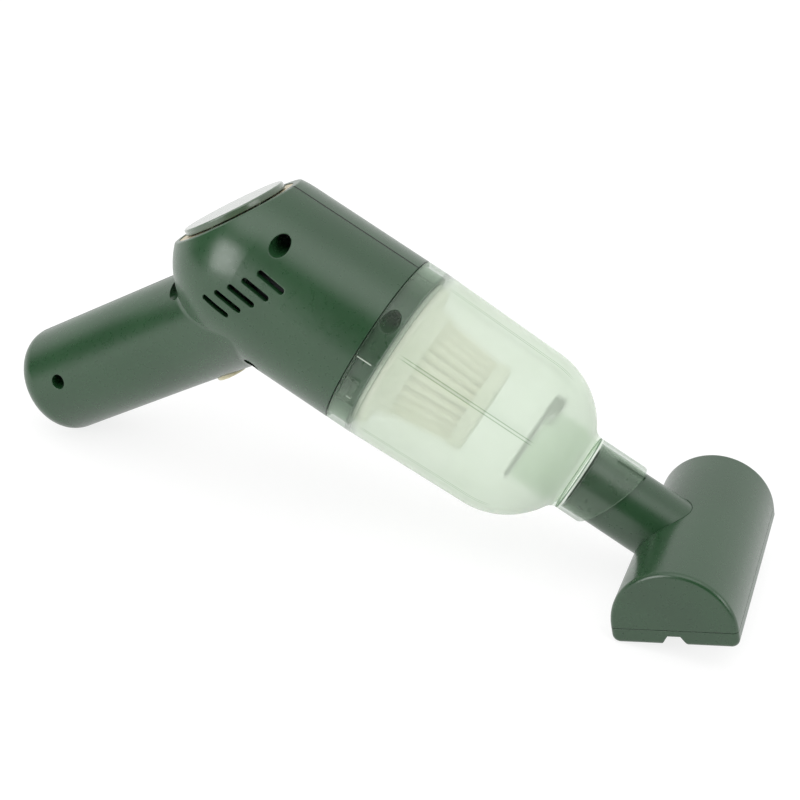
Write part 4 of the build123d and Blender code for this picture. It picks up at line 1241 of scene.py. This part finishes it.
    def shell(self) -> Piece:
        """Wall of cup, duct and neck.

        The profile turns about the barrel's axis. Past the slant's start each point slides along the axis
        by the mouth's slope times its height, times its share of the way to the mouth. The bore's radius
        grows by the key's depth between the keyway's two sides.

        Returns:
            The wall.
        """
        profile = np.concatenate(self.outside() + self.back())
        top, side = math.pi / 2, math.asin(self.key_half_width / self.bore)
        clearance, margin = 0.01, 0.1
        angles = np.linspace(0, FULL_TURN, 240, endpoint=False)
        apart = np.abs(np.abs(angles - top) - side) > clearance
        flanks = top + np.array([-side - self.key_flank, -side, side, side + self.key_flank])
        angles = np.sort(np.concatenate([angles[apart], flanks]))
        u, radius = (column[:, None] + np.zeros_like(angles) for column in profile.T)
        slope = (self.mouth_top - self.mouth_bottom) / (2 * self.neck)
        share = np.clip((u - self.slant_start) / (self.mouth - self.slant_start), 0, 1)
        slid = u + share * slope * radius * np.sin(angles)
        keyway = np.abs(angles - top) < side + self.key_flank / 2
        on_bore = (u >= self.slant_start) & (np.abs(radius - self.bore) < self.edge + margin)
        radius = radius + np.where(keyway & on_bore & (slid > self.key_start), self.key_depth, 0)
        grid = self.barrel.place(slid, -radius * np.cos(angles), radius * np.sin(angles))
        return surface("cup_wall", grid, True, 40.0)

    def face_table(self, piece: Piece) -> tuple[np.ndarray, np.ndarray, np.ndarray, np.ndarray]:
        """Where the piece's faces lie and which way they look, in the barrel's own directions.

        Args:
            piece: one of the cup's pieces.

        Returns:
            For each face its station and radius in millimetres, then the shares of its normal that point
            along the barrel and away from its axis.
        """
        count = len(piece.data.polygons)
        centre, normal = np.zeros(count * 3), np.zeros(count * 3)
        piece.data.polygons.foreach_get("center", centre)
        piece.data.polygons.foreach_get("normal", normal)
        centre, normal = centre.reshape(-1, 3) - self.barrel.start, normal.reshape(-1, 3)
        along = centre @ self.barrel.forward
        away = centre - np.outer(along, self.barrel.forward)
        radius = np.maximum(np.linalg.norm(away, axis=1), 1e-9)
        outward = (away / radius[:, None] * normal).sum(axis=1)
        return along / MM, radius / MM, normal @ self.barrel.forward, outward

    def dress_wall(self, wall: Piece) -> None:
        """Dresses the wall by zones: frosted outside, smooth inside, clear rim and neck, and their edges.

        A dark step of painted shade and a bright strip of painted highlight lie outside, where the neck
        starts, and the duct goes on inside from there.

        Args:
            wall: the cup's wall.
        """
        margin, lip, end_facing = 0.5, 1.0, 0.75
        along, radius, ahead, outward = self.face_table(wall)
        by_duct = radius < self.neck + margin
        outside = (outward > 0) & (~by_duct | (along > self.step_start))
        clear = (along < self.clear_end) | (along > self.step_start)
        # painted shade on the outer step where the neck starts
        step = outside & (along > self.step_start) & (along < self.strip_start)
        # painted highlight on the strip just past the step
        strip = outside & (along > self.strip_start) & (along < self.strip_end)
        duct = by_duct & (along > self.duct_end - lip) & (along < self.step_start)
        zones = np.where(outside, Zone.FROSTED, Zone.SMOOTH)
        zones = np.where(clear, Zone.CLEAR, zones)
        zones = np.where(clear & (np.abs(ahead) > end_facing), Zone.END, zones)
        zones = np.where(step, Zone.STEP, zones)
        zones = np.where(strip, Zone.EDGE, zones)
        zones = np.where(duct, Zone.DUCT, zones)
        self.wardrobe.divide(wall, [ZONE_FINISHES[zone] for zone in Zone], zones)

    def dress_lugs(self, lugs: Piece) -> None:
        """Dresses the lugs clear, and shaded on the faces that look round the axis.

        Args:
            lugs: the bayonet lugs.
        """
        end_limit = 0.3
        ahead, outward = self.face_table(lugs)[2:]
        ends = ahead**2 + outward**2 < end_limit
        self.wardrobe.divide(lugs, (CUP_CLEAR, CUP_END), ends.astype(int))

    def ribs(self) -> Piece:
        """Ribs inside the bowl: a tapered, rounded outline carried along the wall at even angles.

        Returns:
            The ribs as one piece.
        """
        u = np.linspace(self.rib_start, self.rib_end, 40)
        radius = self.inner_radius(u)
        foot, crest = self.rib_thickness / 2, self.rib_thickness / 2 * self.rib_taper
        outline = rounded(
            [
                (-foot, self.rib_sink, 0),
                (foot, self.rib_sink, 0),
                (crest, -self.rib_height, self.rib_round),
                (-crest, -self.rib_height, self.rib_round),
            ]
        )
        made = []
        for turn in np.radians(np.arange(RIB_COUNT) * 360 / RIB_COUNT + 90):
            side, up = -math.cos(turn), math.sin(turn)
            path = self.barrel.place(u, radius * side, radius * up)
            wide, deep = self.barrel.way(0.0, up, -side), self.barrel.way(0.0, side, up)
            made.append(surface("cup_rib", carried(path, wide, deep, outline), False))
        return joined("cup_ribs", made)

    def sector(self, start: float, size: float, low: float, high: float, first: float, last: float) -> Piece:
        """Block bent round the barrel's axis.

        An outline in station and radius, rounded at its corners, is turned from the start angle through
        the size.

        Args:
            start: angle of its first end.
            size: angle that it takes up.
            low: its smaller radius.
            high: its larger radius.
            first: station of its back.
            last: station of its front.

        Returns:
            The block.
        """
        crest_round, foot_round = 0.3, 0.1
        turn = np.radians(np.linspace(start, start + size, 24))[:, None]
        crest = [(first, low, crest_round), (last, low, crest_round)]
        foot = [(last, high, foot_round), (first, high, foot_round)]
        u, radius = rounded(crest + foot).T[:, None, :]
        body = self.barrel.place(u, -radius * np.cos(turn), radius * np.sin(turn))
        return surface("cup_sector", capped(body), False)

    def lugs(self) -> Piece:
        """Two bayonet lugs, each in three blocks with a slit between those at its front.

        Returns:
            The lugs as one piece.
        """
        low, high = self.inside - self.lug_height, self.inside + self.lug_sink
        back, front = self.lug_end - self.lug_front, self.lug_end
        before, after = self.slit_spot - self.slit_half, self.slit_spot + self.slit_half
        made = []
        for start in (self.lug_angle, self.lug_angle + 180.0):
            made.append(self.sector(start, self.lug_arc, low, high, self.lug_start, back))
            for first, last in ((0.0, before), (after, self.lug_arc)):
                overlapped = back - self.lug_overlap
                made.append(self.sector(start + first, last - first, low, high, overlapped, front))
        return joined("cup_lugs", made)

    def stops(self) -> Piece:
        """Thin ribs on the rim's inside: a long one past each lug and a short one in its slit.

        Returns:
            The ribs as one piece.
        """
        low, high = self.inside - self.stop_height, self.inside + self.stop_sink
        slit_low, slit_back = self.inside - self.slit_stop_height, self.lug_end - self.slit_stop_length
        made = []
        for start in (self.lug_angle, self.lug_angle + 180.0):
            stop, slit = start + self.stop_spot, start + self.slit_spot - self.stop_arc / 2
            made.append(self.sector(stop, self.stop_arc, low, high, self.stop_start, self.stop_end))
            made.append(self.sector(slit, self.stop_arc, slit_low, high, slit_back, self.lug_end))
        return joined("cup_stops", made)

    def ears(self) -> Piece:
        """Two ears on the duct's inner end that hold the flap's pin: a rounded outline through a width.

        Returns:
            The ears as one piece.
        """
        foot_round, steps = 0.2, 6
        low, high = self.pin_height - self.ear_below, self.pin_height + self.ear_above
        outline = rounded(
            [
                (self.duct_end, low, foot_round),
                (self.pin_station + self.ear_ahead, low, foot_round),
                (self.pin_station + self.ear_ahead_tip, high, self.ear_round),
                (self.duct_end, high, self.ear_round),
            ],
            steps,
        )
        across = np.linspace(-self.ear_width / 2, self.ear_width / 2, 3)[:, None]
        made = []
        for way in (-1.0, 1.0):
            body = self.barrel.place(outline[:, 0], way * self.ear_spot + across, outline[:, 1])
            made.append(surface("cup_ear", capped(body), False))
        return joined("cup_ears", made)

    def build(self) -> list[Piece]:
        """Builds and dresses the cup's pieces, which stand for its node.

        Returns:
            The pieces.
        """
        wall, ribs, lugs, ears, stops = self.shell(), self.ribs(), self.lugs(), self.ears(), self.stops()
        # the stops are dressed in the painted highlight
        for piece, finish in ((ribs, CUP_SMOOTH), (ears, CUP_SMOOTH), (stops, CUP_HIGHLIGHT)):
            self.wardrobe.dress(piece, finish)
        self.dress_wall(wall)
        self.dress_lugs(lugs)
        made = [wall, ribs, lugs, ears, stops]
        for piece in made:
            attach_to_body(piece, "cup")
        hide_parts("dust_cup")
        return made


# Filter and foam


@dataclass
class FilterPaper:
    """Pleated paper wall of the cone filter, its sizes in millimetres."""

    barrel: BarrelFrame
    wardrobe: Wardrobe
    start: float = 20.0
    end: float = 44.5
    start_radius: float = 20.9
    end_radius: float = 17.6
    depth: float = 3.4
    thickness: float = 0.8
    count: int = 28
    sharpness: float = 0.9

    def fold_line(self, ridge: np.ndarray, turn: np.ndarray) -> tuple[np.ndarray, np.ndarray]:
        """Middle of the paper at each station and its direction across.

        The radius is the ridge's less half the thickness, and less half the depth times one minus a wave.
        The wave is the arc sine of the sharpness times the sine of the count times the angle, over the
        arc sine of the sharpness.

        Args:
            ridge: radius of the folds' outer ridges at each station.
            turn: angles round the barrel's axis.

        Returns:
            Points (t, y) in millimetres and unit normals, stations by angles by two.
        """
        wave = np.arcsin(self.sharpness * np.sin(self.count * turn)) / math.asin(self.sharpness)
        radius = ridge[:, None] - self.thickness / 2 - self.depth / 2 * (1 - wave[None, :])
        line = np.stack([radius * np.sin(turn), radius * np.cos(turn)], axis=-1)
        run = np.roll(line, -1, axis=1) - np.roll(line, 1, axis=1)
        run /= np.linalg.norm(run, axis=-1, keepdims=True)
        return line, np.stack([run[..., 1], -run[..., 0]], axis=-1)

    def build(self) -> Piece:
        """Builds and dresses the paper, which stands for its node.

        The fold line is shifted half the paper's thickness to either side at each station, and the two
        skins close into one ring.

        Returns:
            The paper.
        """
        rows, points_per_fold = 14, 16
        stations = np.linspace(self.start, self.end, rows)
        turn = np.linspace(0, FULL_TURN, self.count * points_per_fold, endpoint=False)
        share = (stations - self.start) / (self.end - self.start)
        ridge = self.start_radius + (self.end_radius - self.start_radius) * share
        line, across = self.fold_line(ridge, turn)
        half = across * self.thickness / 2
        t, y = np.moveaxis(np.concatenate([line - half, (line + half)[::-1]]), -1, 0)
        along = np.concatenate([stations, stations[::-1]])[:, None]
        piece = surface("filter_paper", self.barrel.place(along, y, t), True, 50.0)
        self.wardrobe.dress(piece, PAPER)
        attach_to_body(piece, "filter")
        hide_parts("filter_media")
        return piece


@dataclass
class ExhaustFoam:
    """Foam pad under the exhaust ring: a disc with crowned faces and a drawn-in rim.

    Its sizes are in millimetres. Its axis leans back from the barrel's top by the lean, in degrees, and
    bottom and top are heights along that axis.
    """

    barrel: BarrelFrame
    wardrobe: Wardrobe
    setback: float = 37.9
    drop: float = 9.7
    lean: float = 55.0
    bottom: float = 31.15
    top: float = 34.0
    radius: float = 20.8
    edge: float = 0.2
    crown: float = 0.5
    tuck: float = 0.5

    def profile(self) -> tuple[np.ndarray, np.ndarray]:
        """Profile from the lower pole round the rim to the upper pole.

        Each face rises by the crown times one minus the squared share of the radius, and the rim draws in
        by the tuck times the sine of its height.

        Returns:
            Radius and height of each point.
        """
        share, margin = np.linspace(0, 1, 14), 0.15
        rise = self.crown * (1 - share**2)
        flat = share * (self.radius - self.edge)
        height = np.linspace(margin, 1 - margin, 5)
        rim = self.radius - self.tuck * np.sin(math.pi * height)
        low, high = self.bottom + self.crown, self.top - self.crown
        lift = np.concatenate([low - rise, low + (high - low) * height, high + rise[::-1]])
        return np.concatenate([flat, rim, flat[::-1]]), lift

    def build(self) -> Piece:
        """Builds and dresses the pad, which stands for its node: the profile turns about the leaning axis.

        Returns:
            The pad.
        """
        radius, lift = (column[:, None] for column in self.profile())
        turn = np.linspace(0, FULL_TURN, 96, endpoint=False)
        cosine, sine = math.cos(math.radians(self.lean)), math.sin(math.radians(self.lean))
        down = self.drop + radius * np.sin(turn)
        u = -self.setback - cosine * down - sine * lift
        t = -sine * down + cosine * lift
        piece = surface("exhaust_pad", self.barrel.place(u, radius * np.cos(turn), t), False, 60.0)
        self.wardrobe.dress(piece, FOAM)
        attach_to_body(piece, "housing")
        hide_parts("exhaust_foam")
        return piece


# Studio


@dataclass(frozen=True)
class Lamp:
    """Square soft lamp, its place, the point that it lights and its side in metres, its power in watts."""

    name: str
    place: Spot
    aim: Spot
    size: float
    power: float

    def hang(self) -> Piece:
        """Puts the lamp into the scene, turned to its aim.

        Returns:
            The lamp.
        """
        data = bpy.data.lights.new(self.name, "AREA")
        data.size = self.size
        data.energy = self.power
        lamp = bpy.data.objects.new(self.name, data)
        lamp.visible_transmission = False
        turn = (Vector(self.aim) - Vector(self.place)).to_track_quat("-Z", "Y")
        lamp.matrix_world = Matrix.Translation(self.place) @ turn.to_matrix().to_4x4()
        bpy.context.scene.collection.objects.link(lamp)
        return lamp


@dataclass
class Studio:
    """Pale floor, surroundings, lamps and the camera.

    The camera's place is in millimetres and its directions are shares, all along the barrel's axes.
    """

    barrel: BarrelFrame
    camera_place: Spot = (64.03, -455.25, 278.40)
    camera_ahead: Spot = (-0.0817, 0.8354, -0.5435)
    camera_up: Spot = (-0.5535, 0.4155, 0.7218)
    lens: float = 62.11
    sensor: float = 36.0
    lamps: tuple[Lamp, ...] = (
        Lamp("key", (-0.556, -0.906, 0.457), (-0.049, 0.0, 0.094), 0.66, 6.6),
        Lamp("side", (1.0, -0.35, 0.5), (0.1, 0.0, 0.03), 0.5, 2.6),
    )
    floor_half: float = 6.0
    dim: float = 0.06
    bright: float = 0.85
    overhead: float = 1.9
    horizon: float = 0.3
    ceiling: tuple[float, float] = (0.66, 0.88)
    shadow: float = 0.22
    evenness: float = 0.85

    def camera(self) -> Piece:
        """Camera beside the barrel that looks down at it and leans a little.

        Returns:
            The camera.
        """
        data = bpy.data.cameras.new("camera")
        data.lens = self.lens
        data.sensor_width = self.sensor
        data.clip_start, data.clip_end = 0.01, 20.0
        eye = bpy.data.objects.new("camera", data)
        ahead = Vector(self.barrel.way(*self.camera_ahead)).normalized()
        right = ahead.cross(Vector(self.barrel.way(*self.camera_up))).normalized()
        turn = Matrix((right, right.cross(ahead), -ahead)).transposed().to_4x4()
        turn.translation = self.barrel.place(*self.camera_place)
        eye.matrix_world = turn
        bpy.context.scene.collection.objects.link(eye)
        bpy.context.scene.camera = eye
        return eye

    @staticmethod
    def seen(tree: Tree, path: bpy.types.Node, glossy: Socket) -> Socket:
        """Share of a ray for which the surroundings are white.

        Args:
            tree: the tree of the floor's material or of the world.
            path: its Light Path node.
            glossy: the share for glossy rays.

        Returns:
            One for camera and transmission rays, else that share.
        """
        straight = sums(tree, "MAXIMUM", path.outputs["Is Camera Ray"], path.outputs["Is Transmission Ray"])
        return sums(tree, "MAXIMUM", straight, glossy)

    def floor(self) -> Piece:
        """Large flat floor just under the object.

        Light falls on it as on a pale floor. Camera, glossy and transmission rays see it as white, with a
        faint shadow of the object.

        Returns:
            The floor.
        """
        half = self.floor_half
        points = np.array([(-half, -half, 0), (half, -half, 0), (half, half, 0), (-half, half, 0)])
        piece = solid("floor", points, np.array([[0, 1, 2, 3]]))
        material, tree, shader, where = started("Pale floor")
        shader.inputs["Roughness"].default_value = 0.9
        shader.inputs["Specular IOR Level"].default_value = 0.1
        path = tree.nodes.new("ShaderNodeLightPath")
        seen = self.seen(tree, path, path.outputs["Is Glossy Ray"])
        pale = blend(tree, noise(tree, where, 3.0, 2.0), paint(246, 246, 246), paint(243, 243, 243))
        shade = (self.shadow, self.shadow, self.shadow)
        tree.links.new(blend(tree, seen, pale, shade), shader.inputs["Base Color"])
        shader.inputs["Emission Color"].default_value = (1.0, 1.0, 1.0, 1.0)
        glow = sums(tree, "MULTIPLY", seen, 1.0 - self.shadow * self.evenness)
        tree.links.new(glow, shader.inputs["Emission Strength"])
        piece.data.materials.append(material)
        return piece

    def world(self) -> None:
        """Bright surroundings behind and above, and dim ones on the camera's side.

        Camera and transmission rays see white, and so do glossy rays that leave towards the far side.
        """
        world = bpy.data.worlds.new("studio")
        bpy.context.scene.world = world
        world.use_nodes = True
        tree = world.node_tree
        tree.nodes.clear()
        output = tree.nodes.new("ShaderNodeOutputWorld")
        path = tree.nodes.new("ShaderNodeLightPath")
        way = tree.nodes.new("ShaderNodeTexCoord")
        split = tree.nodes.new("ShaderNodeSeparateXYZ")
        tree.links.new(way.outputs["Generated"], split.inputs[0])
        far = ranged(tree, split.outputs["Y"], -self.horizon, self.horizon, 0.0, 1.0)
        behind = ranged(tree, split.outputs["Y"], -self.horizon, self.horizon, self.dim, self.bright)
        above = ranged(tree, split.outputs["Z"], *self.ceiling, 0.0, self.overhead)
        white = self.seen(tree, path, sums(tree, "MULTIPLY", path.outputs["Is Glossy Ray"], far))
        mix = tree.nodes.new("ShaderNodeMixShader")
        tree.links.new(white, mix.inputs[0])
        for place, strength in ((1, sums(tree, "MAXIMUM", behind, above)), (2, 1.0)):
            light = tree.nodes.new("ShaderNodeBackground")
            light.inputs["Color"].default_value = (1.0, 1.0, 1.0, 1.0)
            attach(tree, strength, light.inputs["Strength"])
            tree.links.new(light.outputs[0], mix.inputs[place])
        tree.links.new(mix.outputs[0], output.inputs["Surface"])

    def build(self) -> None:
        """Sets up camera, floor, world and lamps."""
        bpy.context.scene.view_settings.view_transform = "Standard"
        self.camera()
        self.floor()
        self.world()
        for lamp in self.lamps:
            lamp.hang()


def main() -> None:
    """Loads the frame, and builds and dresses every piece."""
    logging.basicConfig(level=logging.INFO, format="%(name)s: %(message)s")
    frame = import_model()
    barrel = BarrelFrame.from_joint(frame["joints"], "motor_spin")
    wardrobe = Wardrobe(Effects(barrel))
    Studio(barrel).build()
    for name, finish in NODE_FINISHES.items():
        wardrobe.dress(frame["nodes"][name], finish)
    made = DustCup(barrel, wardrobe).build()
    made += [FilterPaper(barrel, wardrobe).build(), ExhaustFoam(barrel, wardrobe).build()]
    for piece in made:
        log.info("%s: %d faces", piece.name, len(piece.data.polygons))


if __name__ == "__main__":
    main()
